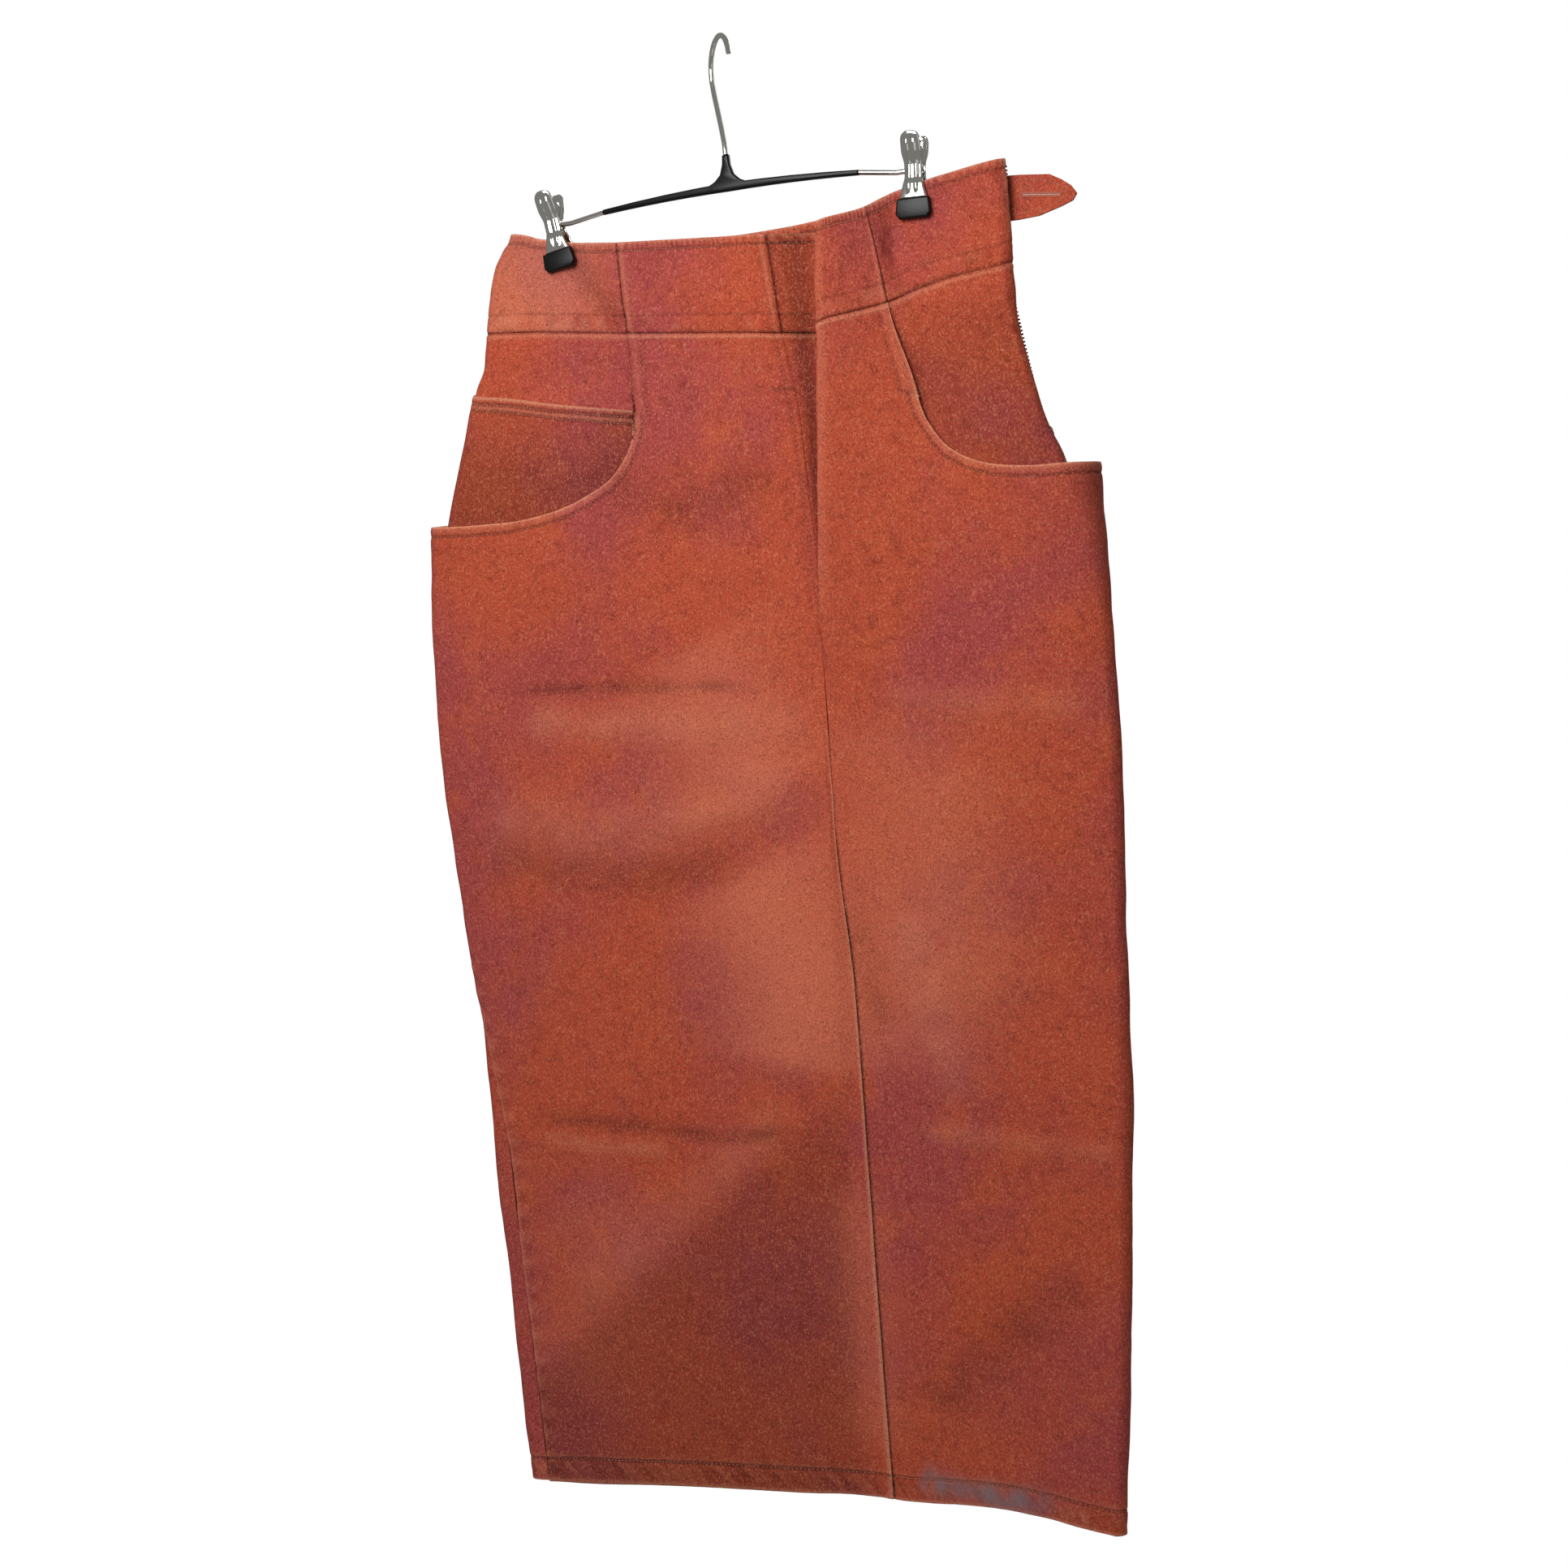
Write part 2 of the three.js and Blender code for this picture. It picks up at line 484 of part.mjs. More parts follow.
// Side zip: two tapes sewn inside the edges of the opening, slider at its lower end
const TAPE_ROWS = 12;
const tapeFrontLevel = (at, z) => facingLevel(at, z) - BAND_WALL / 2 - (at > frontEdgeRight(z) ? 0.75 : 1);
const tapeBackLevel = () => -BAND_WALL / 2 - 0.4 - TAPE_WALL / 2;
const tapeHeight = (j) => mix(waistTop(568) - 2, ZIP_END_Z - 8, j / TAPE_ROWS);
addCloth('zip_tape_front', 2, TAPE_ROWS + 1, (i, j) => {
  const z = tapeHeight(j);
  return [frontEdgeRight(z) + TAPE_REACH - (i === 0 ? TAPE_WIDTH + 2 : 0), z];
}, tapeFrontLevel, TAPE_WALL, flat, tape);
addCloth('zip_tape_back', 4, TAPE_ROWS + 1, (i, j) => {
  const z = tapeHeight(j);
  return [backEdgeRight(z) - TAPE_REACH + (TAPE_WIDTH * i) / 3, z];
}, tapeBackLevel, TAPE_WALL, flat, tape);

// Slider and pull tab stand outside the seam, in a frame made of its tangent and normal
const SLIDER_Z = -300;
const SLIDER_WIDTH = 5;
const PULL_AXIS_OUT = 4.4;
const PULL_AXIS_UP = -5;
const seat = onSection(rightSeam(SLIDER_Z), SLIDER_Z);
const seatTangent = new THREE.Vector3(seat.tangent[0], seat.tangent[1], 0);
const seatNormal = new THREE.Vector3(seat.tangent[1], -seat.tangent[0], 0);
const up = new THREE.Vector3(0, 0, 1);

function rectPath(target, x0, y0, x1, y1) {
  target.moveTo(x0, y0);
  target.lineTo(x1, y0);
  target.lineTo(x1, y1);
  target.lineTo(x0, y1);
  target.closePath();
  return target;
}

// Shape drawn in (out, up), extruded along the tangent
const sliderShape = new THREE.Shape();
sliderShape.moveTo(1.9, -9);
sliderShape.lineTo(3, -9);
sliderShape.lineTo(6.4, -7.6);
sliderShape.lineTo(7.2, -6);
sliderShape.lineTo(7.2, -3);
sliderShape.lineTo(5.6, -1);
sliderShape.lineTo(3, 0);
sliderShape.lineTo(1.9, 0);
sliderShape.closePath();
sliderShape.holes.push(rectPath(new THREE.Path(), 2.9, -6.6, 5.9, -3.2));
const sliderGeometry = new THREE.ExtrudeGeometry(sliderShape, { depth: SLIDER_WIDTH, bevelEnabled: false });
const alongTangent = new THREE.Matrix4().makeBasis(seatNormal, up, seatTangent.clone());
if (alongTangent.determinant() < 0) alongTangent.makeBasis(seatNormal, up, seatTangent.clone().negate());
const sliderAway = new THREE.Vector3().setFromMatrixColumn(alongTangent, 2);
const seatPoint = new THREE.Vector3(seat.x, seat.y, SLIDER_Z);
sliderGeometry.translate(0, 0, -SLIDER_WIDTH / 2);
sliderGeometry.applyMatrix4(alongTangent);
sliderGeometry.translate(seatPoint.x, seatPoint.y, seatPoint.z);
addMesh('zip_slider', sliderGeometry, brass);

// Pull tab: flat plate with a window that its cross bar closes inside the slider's bridge
const PULL_WIDTH = 8.4;
const PULL_LENGTH = 22;
const PULL_THICK = 1.4;
const pullShape = rectPath(new THREE.Shape(), -PULL_WIDTH / 2, -PULL_LENGTH, PULL_WIDTH / 2, 0.7);
pullShape.holes.push(rectPath(new THREE.Path(), -SLIDER_WIDTH / 2 - 0.4, -5.4, SLIDER_WIDTH / 2 + 0.4, -0.7));
const pullGeometry = new THREE.ExtrudeGeometry(pullShape, { depth: PULL_THICK, bevelEnabled: false });
pullGeometry.translate(0, 0, -PULL_THICK / 2);
const pullBasis = new THREE.Matrix4().makeBasis(sliderAway.clone(), up, seatNormal);
if (pullBasis.determinant() < 0) pullBasis.makeBasis(sliderAway.clone().negate(), up, seatNormal);
pullGeometry.applyMatrix4(pullBasis);
pullGeometry.translate(
  seatPoint.x + seatNormal.x * PULL_AXIS_OUT,
  seatPoint.y + seatNormal.y * PULL_AXIS_OUT,
  SLIDER_Z + PULL_AXIS_UP,
);
addMesh('zip_pull', pullGeometry, brass);

// Waist tab: pointed, with a level buttonhole, beyond the right end of the back band
const TAB_WALL = 2.4;
const TAB_NEAR = 6.7;
const TAB_START = 198;
const TAB_LEAN = 0.06;
const TAB_EDGE = [[198, -125.5], [218, -126.8], [238, -129], [246, -133.5], [252, -138], [256, -144],
  [253, -148.5], [245, -151.5], [229, -156], [214, -157], [198, -157], [198, -141]];
const TAB_SLOT = [[218, -139.6], [225, -140.4], [232, -141.3], [239, -142.2], [244, -142.8], [244.6, -143.6],
  [244, -144.4], [239, -143.8], [232, -142.9], [225, -142], [218, -141.2], [217.4, -140.4]];

// Plate between an edge and a hole with as many points, its two faces a wall apart along Y
function ringPlate(edge, hole) {
  const count = edge.length;
  const points = [];
  const faces = [];
  for (const back of [0, TAB_WALL]) {
    for (const [x, z] of [...edge, ...hole]) points.push(x, TAB_NEAR + back + (x - TAB_START) * TAB_LEAN, z);
  }
  const index = (back, ring, k) => back * 2 * count + ring * count + (k % count);
  const quad = (a, b, c, d) => faces.push(a, b, c, a, c, d);
  for (let k = 0; k < count; k += 1) {
    quad(index(0, 0, k), index(0, 1, k), index(0, 1, k + 1), index(0, 0, k + 1));
    quad(index(1, 0, k), index(1, 0, k + 1), index(1, 1, k + 1), index(1, 1, k));
    quad(index(0, 0, k), index(0, 0, k + 1), index(1, 0, k + 1), index(1, 0, k));
    quad(index(0, 1, k), index(1, 1, k), index(1, 1, k + 1), index(0, 1, k + 1));
  }
  const geometry = new THREE.BufferGeometry();
  geometry.setAttribute('position', new THREE.Float32BufferAttribute(points, 3));
  geometry.setIndex(faces);
  geometry.computeVertexNormals();
  return geometry;
}
addMesh('waist_tab', ringPlate(TAB_EDGE, TAB_SLOT), cloth);

// Round bar swept along a path of points, closed at both ends
function sweep(points, radii, sides) {
  const path = points.map((point) => new THREE.Vector3(...point));
  const positions = [];
  const faces = [];
  let across = null;
  path.forEach((point, k) => {
    const before = path[Math.max(0, k - 1)];
    const next = path[Math.min(path.length - 1, k + 1)];
    const along = next.clone().sub(before).normalize();
    if (!across) across = new THREE.Vector3(0.31, 0.95, 0.05).cross(along).normalize();
    across.addScaledVector(along, -across.dot(along)).normalize();
    const other = along.clone().cross(across);
    for (let s = 0; s < sides; s += 1) {
      const turn = (2 * Math.PI * s) / sides;
      const place = point.clone()
        .addScaledVector(across, Math.cos(turn) * radii[k])
        .addScaledVector(other, Math.sin(turn) * radii[k]);
      positions.push(place.x, place.y, place.z);
    }
  });
  const ring = (k, s) => k * sides + (s % sides);
  for (let k = 0; k + 1 < path.length; k += 1) {
    for (let s = 0; s < sides; s += 1) {
      faces.push(ring(k, s), ring(k, s + 1), ring(k + 1, s + 1), ring(k, s), ring(k + 1, s + 1), ring(k + 1, s));
    }
  }
  for (let s = 1; s + 1 < sides; s += 1) {
    faces.push(ring(0, 0), ring(0, s + 1), ring(0, s));
    const last = path.length - 1;
    faces.push(ring(last, 0), ring(last, s), ring(last, s + 1));
  }
  const geometry = new THREE.BufferGeometry();
  geometry.setAttribute('position', new THREE.Float32BufferAttribute(positions, 3));
  geometry.setIndex(faces);
  geometry.computeVertexNormals();
  return geometry;
}

// Hook: its plane stands turned against the bar, the tip toward the viewer's right
const HOOK_TURN = [0.68, -0.733];
const HOOK_RISE = [[0, -82.6], [-1.5, -74], [-5.5, -63], [-11, -50], [-17, -36], [-20.3, -26]];
const HOOK_TIP_ANGLE = 80;
const HOOK_ARC_STEPS = 12;
const hookLine = [...HOOK_RISE];
for (let k = 0; k <= HOOK_ARC_STEPS; k += 1) {
  const turn = THREE.MathUtils.degToRad(mix(-90, HOOK_TIP_ANGLE, k / HOOK_ARC_STEPS));
  hookLine.push([Math.sin(turn) * HOOK_RADIUS, WIRE_RADIUS - HOOK_RADIUS + Math.cos(turn) * HOOK_RADIUS]);
}
const hookPath = hookLine.map(([s, z]) => [s * HOOK_TURN[0], s * HOOK_TURN[1], z]);
addMesh('hanger_hook', sweep(hookPath, hookPath.map(() => WIRE_RADIUS), 8), chrome);

// Bar: shallow arch with a root for the hook, one rounded extrusion
const BAR_HALF = 101;
const BAR_TOP_MIDDLE = -103;
const BAR_ARCH = 7.5;
const BAR_THICK = [6, 3.6];
const BAR_BEVEL = 1.2;
const BAR_DEPTH = 5;
const BAR_STEPS = 12;
const rodZ = (x) => -105.9 - BAR_ARCH * (x / 137) * (x / 137);
const barHalf = (x) => mix(BAR_THICK[0], BAR_THICK[1], Math.abs(x) / BAR_HALF) / 2 - BAR_BEVEL;
const barShape = new THREE.Shape();
barShape.moveTo(-BAR_HALF, rodZ(BAR_HALF) - barHalf(BAR_HALF));
for (let k = 1; k <= BAR_STEPS; k += 1) {
  const x = mix(-BAR_HALF, BAR_HALF, k / BAR_STEPS);
  barShape.lineTo(x, rodZ(x) - barHalf(x));
}
for (const x of [BAR_HALF, 76, 50, 28, 14]) barShape.lineTo(x, rodZ(x) + barHalf(x));
barShape.lineTo(9, -102);
barShape.lineTo(4.2, -97.5);
barShape.lineTo(1.8, -90);
barShape.lineTo(1.4, -84.2);
barShape.lineTo(-1.4, -84.2);
barShape.lineTo(-1.8, -90);
barShape.lineTo(-4.2, -97.5);
barShape.lineTo(-9, -102);
for (const x of [-14, -28, -50, -76, -BAR_HALF]) barShape.lineTo(x, rodZ(x) + barHalf(x));
barShape.closePath();
const barGeometry = new THREE.ExtrudeGeometry(barShape, {
  depth: BAR_DEPTH - 2 * BAR_BEVEL, bevelEnabled: true, bevelThickness: BAR_BEVEL, bevelSize: BAR_BEVEL, bevelSegments: 2,
});
barGeometry.rotateX(Math.PI / 2);
barGeometry.translate(0, (BAR_DEPTH - 2 * BAR_BEVEL) / 2, 0);
addMesh('hanger_bar', barGeometry, vinyl);

// Rods: chrome wire out of each end of the bar into the clips
const ROD_START = BAR_HALF + BAR_BEVEL + 0.3;
const HINGE_X = 144;
const HINGE_Z = rodZ(HINGE_X);
const ROD_LEVEL_FROM = 130;
const ROD_END = HINGE_X + 7;
for (const [name, sign] of [['hanger_rod_left', -1], ['hanger_rod_right', 1]]) {
  const line = [[ROD_START, rodZ(ROD_START)], [ROD_LEVEL_FROM, HINGE_Z], [ROD_END, HINGE_Z]];
  const path = line.map(([x, z]) => [sign * x, 0, z]);
  addMesh(name, sweep(path, path.map(() => ROD_RADIUS), 10), chrome);
}

// Clip: bent sheet jaws, a vinyl pad under each and a coiled spring round the rod
const JAW = {
  up: [25, 23.5, 20, 12, 3, -4, -12, -20],
  out: [10.4, 10.3, 9.6, 7.4, 4.1, 3.9, 5.6, 5.8],
  half: [3.4, 5.8, 7.2, 7.5, 6.6, 6.6, 8, 10.4],
};
const JAW_WALL = 1.2;
const PAD_HALF = 13;
const PAD_TALL = 14;
const PAD_DEEP = 5;
const PAD_TOP = -20.3;
const SPRING_RADII = [2.15, 2.85];
const SPRING_LENGTH = 11;

function jawGeometry(side) {
  const columns = [-1, -0.5, 0, 0.5, 1];
  const make = (shift) => columns.map((column) => JAW.up.map((height, k) => [
    column * JAW.half[k],
    side * (JAW.out[k] + shift + 0.7 * (1 - column * column)),
    height,
  ]));
  const near = make(JAW_WALL / 2);
  const far = make(-JAW_WALL / 2);
  return side < 0 ? closeGrids(near, far) : closeGrids(far, near);
}

function padGeometry(side) {
  const bevel = 1.3;
  const shape = new THREE.Shape();
  const wide = PAD_HALF - bevel;
  const top = PAD_TOP - bevel;
  const bottom = PAD_TOP - PAD_TALL + bevel;
  shape.moveTo(-wide + 2, bottom);
  shape.lineTo(wide - 2, bottom);
  shape.lineTo(wide, bottom + 2.5);
  shape.lineTo(wide - 1, top);
  shape.lineTo(-wide + 1, top);
  shape.lineTo(-wide, bottom + 2.5);
  shape.closePath();
  const geometry = new THREE.ExtrudeGeometry(shape, {
    depth: PAD_DEEP - 2 * bevel, bevelEnabled: true, bevelThickness: bevel, bevelSize: bevel, bevelSegments: 3,
  });
  geometry.rotateX(Math.PI / 2);
  const middle = PINCH_Y + BAND_WALL / 2 + 0.3 + PAD_DEEP / 2;
  geometry.translate(0, side * middle + (PAD_DEEP - 2 * bevel) / 2, 0);
  return geometry;
}

function springGeometry() {
  const profile = [
    new THREE.Vector2(SPRING_RADII[0], -SPRING_LENGTH / 2),
    new THREE.Vector2(SPRING_RADII[1], -SPRING_LENGTH / 2),
    new THREE.Vector2(SPRING_RADII[1], SPRING_LENGTH / 2),
    new THREE.Vector2(SPRING_RADII[0], SPRING_LENGTH / 2),
    new THREE.Vector2(SPRING_RADII[0], -SPRING_LENGTH / 2),
  ];
  const geometry = new THREE.LatheGeometry(profile, 12);
  geometry.rotateZ(-Math.PI / 2);
  return geometry;
}

// Each clip hangs on its rod; the left one leans by ten degrees, the right one by two
for (const [word, x, lean] of [['left', -HINGE_X, 10], ['right', HINGE_X, -2]]) {
  const hinge = new THREE.Matrix4()
    .makeTranslation(x, 0, HINGE_Z)
    .multiply(new THREE.Matrix4().makeRotationY(THREE.MathUtils.degToRad(-lean)));
  for (const [face, side] of [['front', -1], ['back', 1]]) {
    addMesh(`clip_${word}_jaw_${face}`, jawGeometry(side).applyMatrix4(hinge), chrome);
    addMesh(`clip_${word}_pad_${face}`, padGeometry(side).applyMatrix4(hinge), vinyl);
  }
  addMesh(`clip_${word}_spring`, springGeometry().translate(x, 0, HINGE_Z), chrome);
}

export default group;
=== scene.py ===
import math

import bmesh
import bpy
import numpy as np
from mathutils import Matrix, Vector


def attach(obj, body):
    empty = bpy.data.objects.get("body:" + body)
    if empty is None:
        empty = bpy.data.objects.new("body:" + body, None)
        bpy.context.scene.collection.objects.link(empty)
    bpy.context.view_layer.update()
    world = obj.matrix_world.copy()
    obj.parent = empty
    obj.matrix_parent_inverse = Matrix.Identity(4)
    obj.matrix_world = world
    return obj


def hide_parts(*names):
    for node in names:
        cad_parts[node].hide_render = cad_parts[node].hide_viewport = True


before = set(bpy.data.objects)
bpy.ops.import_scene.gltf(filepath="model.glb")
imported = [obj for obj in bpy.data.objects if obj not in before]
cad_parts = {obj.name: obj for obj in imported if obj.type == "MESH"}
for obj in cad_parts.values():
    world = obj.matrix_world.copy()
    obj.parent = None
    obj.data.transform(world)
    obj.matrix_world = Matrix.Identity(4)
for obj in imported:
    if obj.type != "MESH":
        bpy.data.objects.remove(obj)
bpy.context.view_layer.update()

MM = 0.001


# The hung shape: level sections of the skirt, drawn through named knots.
# All sizes in millimetres; x to the right of the photograph, less y is nearer
# to the viewer, z below the hook. A place round the section is in hip girth mm.
GIRTH = 1111
CENTRE_FRONT = 328
CENTRE_BACK = 840
LEFT_PRINCESS = 178
RIGHT_PRINCESS = 454
NOSE_DEPTH = 6
PINCH_LEFT = (-155, -123)
PINCH_RIGHT = (127, 159)
BAND_WALL = 2.4
CLOTH_WALL = 1.6
COIN_WALL = 1.2
HEM_WALL = 3
FACING_SET_BACK = 4.1

OUTLINE = {
    "z": (-112, -120, -128, -140, -160, -190, -212, -230, -270, -300, -322, -361, -386, -430,
          -520, -560, -600, -640, -680, -720, -760, -900, -960, -1082),
    "left": (-180, -182, -188.5, -196, -202, -208, -212.7, -225, -238, -247.6, -254.4, -265,
             -271.7, -275.8, -275.2, -273.4, -269.6, -265.9, -260.7, -255.7, -254.4, -250,
             -246.2, -239.8),
    "right": (208.4, 208.4, 208.8, 209.1, 209.2, 210, 212, 216, 225.5, 233.5, 243, 253, 260,
              265.8, 268, 267.1, 266, 264.8, 263.2, 262, 261.3, 253.4, 249, 239.2),
}
CORNER = {
    "z": (-112, -160, -200, -270, -330, -430, -700, -1082),
    "gap": (5, 5.2, 6.5, 8, 8.5, 8.5, 8, 6.5),
}
FRONT_X = {
    "z": (-112, -147, -180, -215, -270, -330, -380, -430, -480, -560, -700, -830, -960, -1082),
    "princess_left": (-89.5, -89, -87.5, -84, -83, -86, -89, -92, -92, -92, -90, -88, -86, -85),
    "lower_fold": (-8, -4, 2, 8, 18, 28, 37, 45, 50.5, 52.2, 46.2, 40.6, 33, 31.5),
    "centre": (27, 30.6, 34.3, 38.1, 47.4, 51.3, 54.4, 55.8, 56.4, 56.2, 64.4, 65.6, 67.2, 67.8),
    "valley": (66, 68, 66.5, 65, 62.5, 59.5, 57.4, 57.2, 59, 64, 75, 77, 78, 78),
    "ridge": (82, 81.3, 78.5, 76.6, 73.2, 67.3, 62.1, 59.2, 63, 74, 88, 90, 90, 90),
    "princess_right": (106, 112.5, 119, 125, 140.6, 147, 149, 150, 151, 152, 150, 148, 143, 140),
}
FRONT_Y = {
    "z": (-112, -155, -200, -270, -330, -430, -480, -560, -700, -830, -960, -1082),
    "side": (-1.5, -1.5, -8, -12, -14, -15, -15, -14, -12, -10, -8, -6),
    "princess_left": (-7.5, -7.5, -8.5, -10, -12, -12, -10, -7, -5.5, -5, -5, -5),
    "lower_fold": (-11, -11, -11, -10, -9.5, -10.5, -13, -15, -15, -14, -12, -8),
    "centre": (-6, -6, -6.5, -6, -6, -10, -12.2, -12, -11, -10.5, -10, -7.5),
    "valley": (2, 2, 3, 2, -0.5, -13, -12.4, -11, -10, -9.5, -9, -7),
    "ridge": (-32, -32, -31.5, -30, -27, -17.5, -12.8, -11, -10, -9.5, -9, -7),
    "princess_right": (-14, -14.5, -15, -14, -16, -16, -15, -13, -13, -12.5, -10, -7),
}
BACK_Y = {
    "z": (-112, -155, -200, -270, -330, -430, -560, -700, -830, -960, -1082),
    "side": (1.5, 1.5, 8, 12, 14, 16, 16, 14, 12, 10, 8),
    "middle": (11, 11, 14.5, 18, 20, 22, 21, 19, 17, 14, 12),
}
SIDE_SEAM = {
    "z": (-112, -200, -300, -330, -430, -560, -660, -700, -740, -780, -830, -1082),
    "left": (-16, -16, -16, -16, -16, -8, 3, 9, 16, 22, 28, 28),
    "right": (575, 580, 586, 600, 640, 655, 656, 657, 658, 658, 659, 660),
}
WAIST = {
    "at": (-14, 0, 30, 60, 106, 178, 290, 328, 350, 372, 454, 490, 524, 554, 568, 582, 618, 654,
           740, 840, 940, 1010, 1050, 1097),
    "top": (-117, -116.5, -118.5, -123.5, -130, -135, -142.5, -144.7, -147.3, -145.5, -137, -128,
            -121.5, -117, -116, -116.3, -121, -127, -136, -139, -134.5, -129.5, -123, -117),
    "seam": (-188, -188, -189.5, -192, -196, -202, -212.5, -215.8, -217.7, -215, -205, -198,
             -192, -188, -186.2, -186.5, -191, -197, -205, -208, -204, -198, -192, -188),
}
HEM = {
    "at": (-14, 14, 90, 178, 250, 290, 310, 350, 454, 500, 530, 568, 582, 618, 654, 740, 840,
           940, 1010, 1050, 1097),
    "z": (-1081.5, -1081.2, -1077.5, -1074, -1070.5, -1068, -1068.3, -1070, -1068.5, -1072.5,
          -1078, -1081.5, -1081, -1078, -1073, -1070, -1069, -1071, -1074.5, -1077, -1081),
}


def knee_slope(before, after, step_before, step_after):
    """Slope at a knot that never overshoots its neighbours."""
    heavy = 2 * step_after + step_before
    light = step_after + 2 * step_before
    same = before * after > 0
    safe_before = np.where(same, before, 1.0)
    safe_after = np.where(same, after, 1.0)
    return np.where(same, (heavy + light) / (heavy / safe_before + light / safe_after), 0.0)


def hermite(a, b, slope_a, slope_b, step, part):
    square, cube = part * part, part ** 3
    return (a * (2 * cube - 3 * square + 1) + slope_a * step * (cube - 2 * square + part)
            + b * (3 * square - 2 * cube) + slope_b * step * (cube - square))


def look(places, values, place):
    """Smooth value of a table column at each place along its first column."""
    keys, column = np.array(places, float), np.array(values, float)
    key = np.asarray(place, float)
    if keys[-1] < keys[0]:
        keys, key = -keys, -key
    key = np.clip(key, keys[0], keys[-1])
    steps = np.diff(keys)
    rises = np.diff(column) / steps
    slopes = np.concatenate(([rises[0]], knee_slope(rises[:-1], rises[1:], steps[:-1], steps[1:]),
                             [rises[-1]]))
    low = np.clip(np.searchsorted(keys, key, side="right") - 1, 0, len(steps) - 1)
    part = (key - keys[low]) / steps[low]
    return hermite(column[low], column[low + 1], slopes[low], slopes[low + 1], steps[low], part)


def ease(value, start, end):
    part = np.clip((value - start) / (end - start), 0, 1)
    return part * part * (3 - 2 * part)


def mix(a, b, part):
    return a + (b - a) * part


# Knots of every section, one row each millimetre and a half down the skirt.
SECTION_STEP = 1.5
section_z = np.arange(-105, -1093, -SECTION_STEP)
free = ease(section_z, -160, -235)
left = look(OUTLINE["z"], OUTLINE["left"], section_z)
right = look(OUTLINE["z"], OUTLINE["right"], section_z)
gap = look(CORNER["z"], CORNER["gap"], section_z)
in_left, in_right = left + NOSE_DEPTH, right - NOSE_DEPTH
fx = {name: look(FRONT_X["z"], FRONT_X[name], section_z) for name in FRONT_X if name != "z"}
fy = {name: look(FRONT_Y["z"], FRONT_Y[name], section_z) for name in FRONT_Y if name != "z"}
back_side = look(BACK_Y["z"], BACK_Y["side"], section_z)
back_middle = look(BACK_Y["z"], BACK_Y["middle"], section_z)
outer = 1 - 0.1 * free
KNOTS = (
    (0, left, 0 * left),
    (14, in_left, -gap),
    (60, mix(PINCH_LEFT[0], mix(in_left, fx["princess_left"], 0.28), free), fy["side"] * outer),
    (106, mix(PINCH_LEFT[1], mix(in_left, fx["princess_left"], 0.56), free), fy["side"]),
    (LEFT_PRINCESS, fx["princess_left"], fy["princess_left"]),
    (290, fx["lower_fold"], fy["lower_fold"]),
    (CENTRE_FRONT, fx["centre"], fy["centre"]),
    (350, fx["valley"], fy["valley"]),
    (372, fx["ridge"], fy["ridge"]),
    (RIGHT_PRINCESS, fx["princess_right"], fy["princess_right"]),
    (490, mix(PINCH_RIGHT[0], mix(fx["princess_right"], in_right, 0.36), free), fy["side"]),
    (524, mix(PINCH_RIGHT[1], mix(fx["princess_right"], in_right, 0.7), free), fy["side"] * outer),
    (554, in_right, -gap),
    (568, right, 0 * right),
    (582, in_right, gap),
    (618, mix(PINCH_RIGHT[1], mix(in_right, in_left, 0.075), free), back_side * outer),
    (654, mix(PINCH_RIGHT[0], mix(in_right, in_left, 0.15), free), back_side),
    (740, mix(in_right, in_left, 0.307), back_middle * 0.94),
    (CENTRE_BACK, mix(in_right, in_left, 0.5), back_middle),
    (940, mix(in_right, in_left, 0.695), back_middle * 0.92),
    (1010, mix(PINCH_LEFT[1], mix(in_right, in_left, 0.83), free), back_side),
    (1050, mix(PINCH_LEFT[0], mix(in_right, in_left, 0.909), free), back_side * outer),
    (1097, in_left, gap),
)
knot_at = np.array([knot[0] for knot in KNOTS] + [GIRTH], float)
knot_x = np.stack([knot[1] for knot in KNOTS], axis=1)
knot_y = np.stack([knot[2] for knot in KNOTS], axis=1)


def on_section(at, z, out=0.0):
    """Points round the section at these heights, set out along the normal: x, y, and the normal."""
    at, z = np.broadcast_arrays(np.mod(at, GIRTH), np.asarray(z, float))
    row = np.clip((section_z[0] - z) / SECTION_STEP, 0, len(section_z) - 1.001)
    row_low = row.astype(int)
    row_part = row - row_low
    low = np.clip(np.searchsorted(knot_at, at, side="right") - 1, 0, len(KNOTS) - 1)

    def knot(grid, shift):
        column = (low + shift) % len(KNOTS)
        return mix(grid[row_low, column], grid[row_low + 1, column], row_part)

    xs = [knot(knot_x, shift) for shift in (-1, 0, 1, 2)]
    ys = [knot(knot_y, shift) for shift in (-1, 0, 1, 2)]
    chords = [np.hypot(xs[k + 1] - xs[k], ys[k + 1] - ys[k]) for k in range(3)]
    part = (at - knot_at[low]) / (knot_at[low + 1] - knot_at[low])
    found, ways = [], []
    for values in (xs, ys):
        rises = [(values[k + 1] - values[k]) / chords[k] for k in range(3)]
        start = knee_slope(rises[0], rises[1], chords[0], chords[1])
        end = knee_slope(rises[1], rises[2], chords[1], chords[2])
        found.append(hermite(values[1], values[2], start, end, chords[1], part))
        near, far = np.clip(part - 0.004, 0, 1), np.clip(part + 0.004, 0, 1)
        ways.append(hermite(values[1], values[2], start, end, chords[1], far)
                    - hermite(values[1], values[2], start, end, chords[1], near))
    length = np.hypot(ways[0], ways[1])
    normal_x, normal_y = ways[1] / length, -ways[0] / length
    return found[0] + normal_x * out, found[1] + normal_y * out, normal_x, normal_y


def round_table(table, column, at):
    at = np.where(np.asarray(at) > 1104, np.asarray(at) - GIRTH, at)
    return look(table["at"], table[column], at)


def left_seam(z):
    return look(SIDE_SEAM["z"], SIDE_SEAM["left"], z)


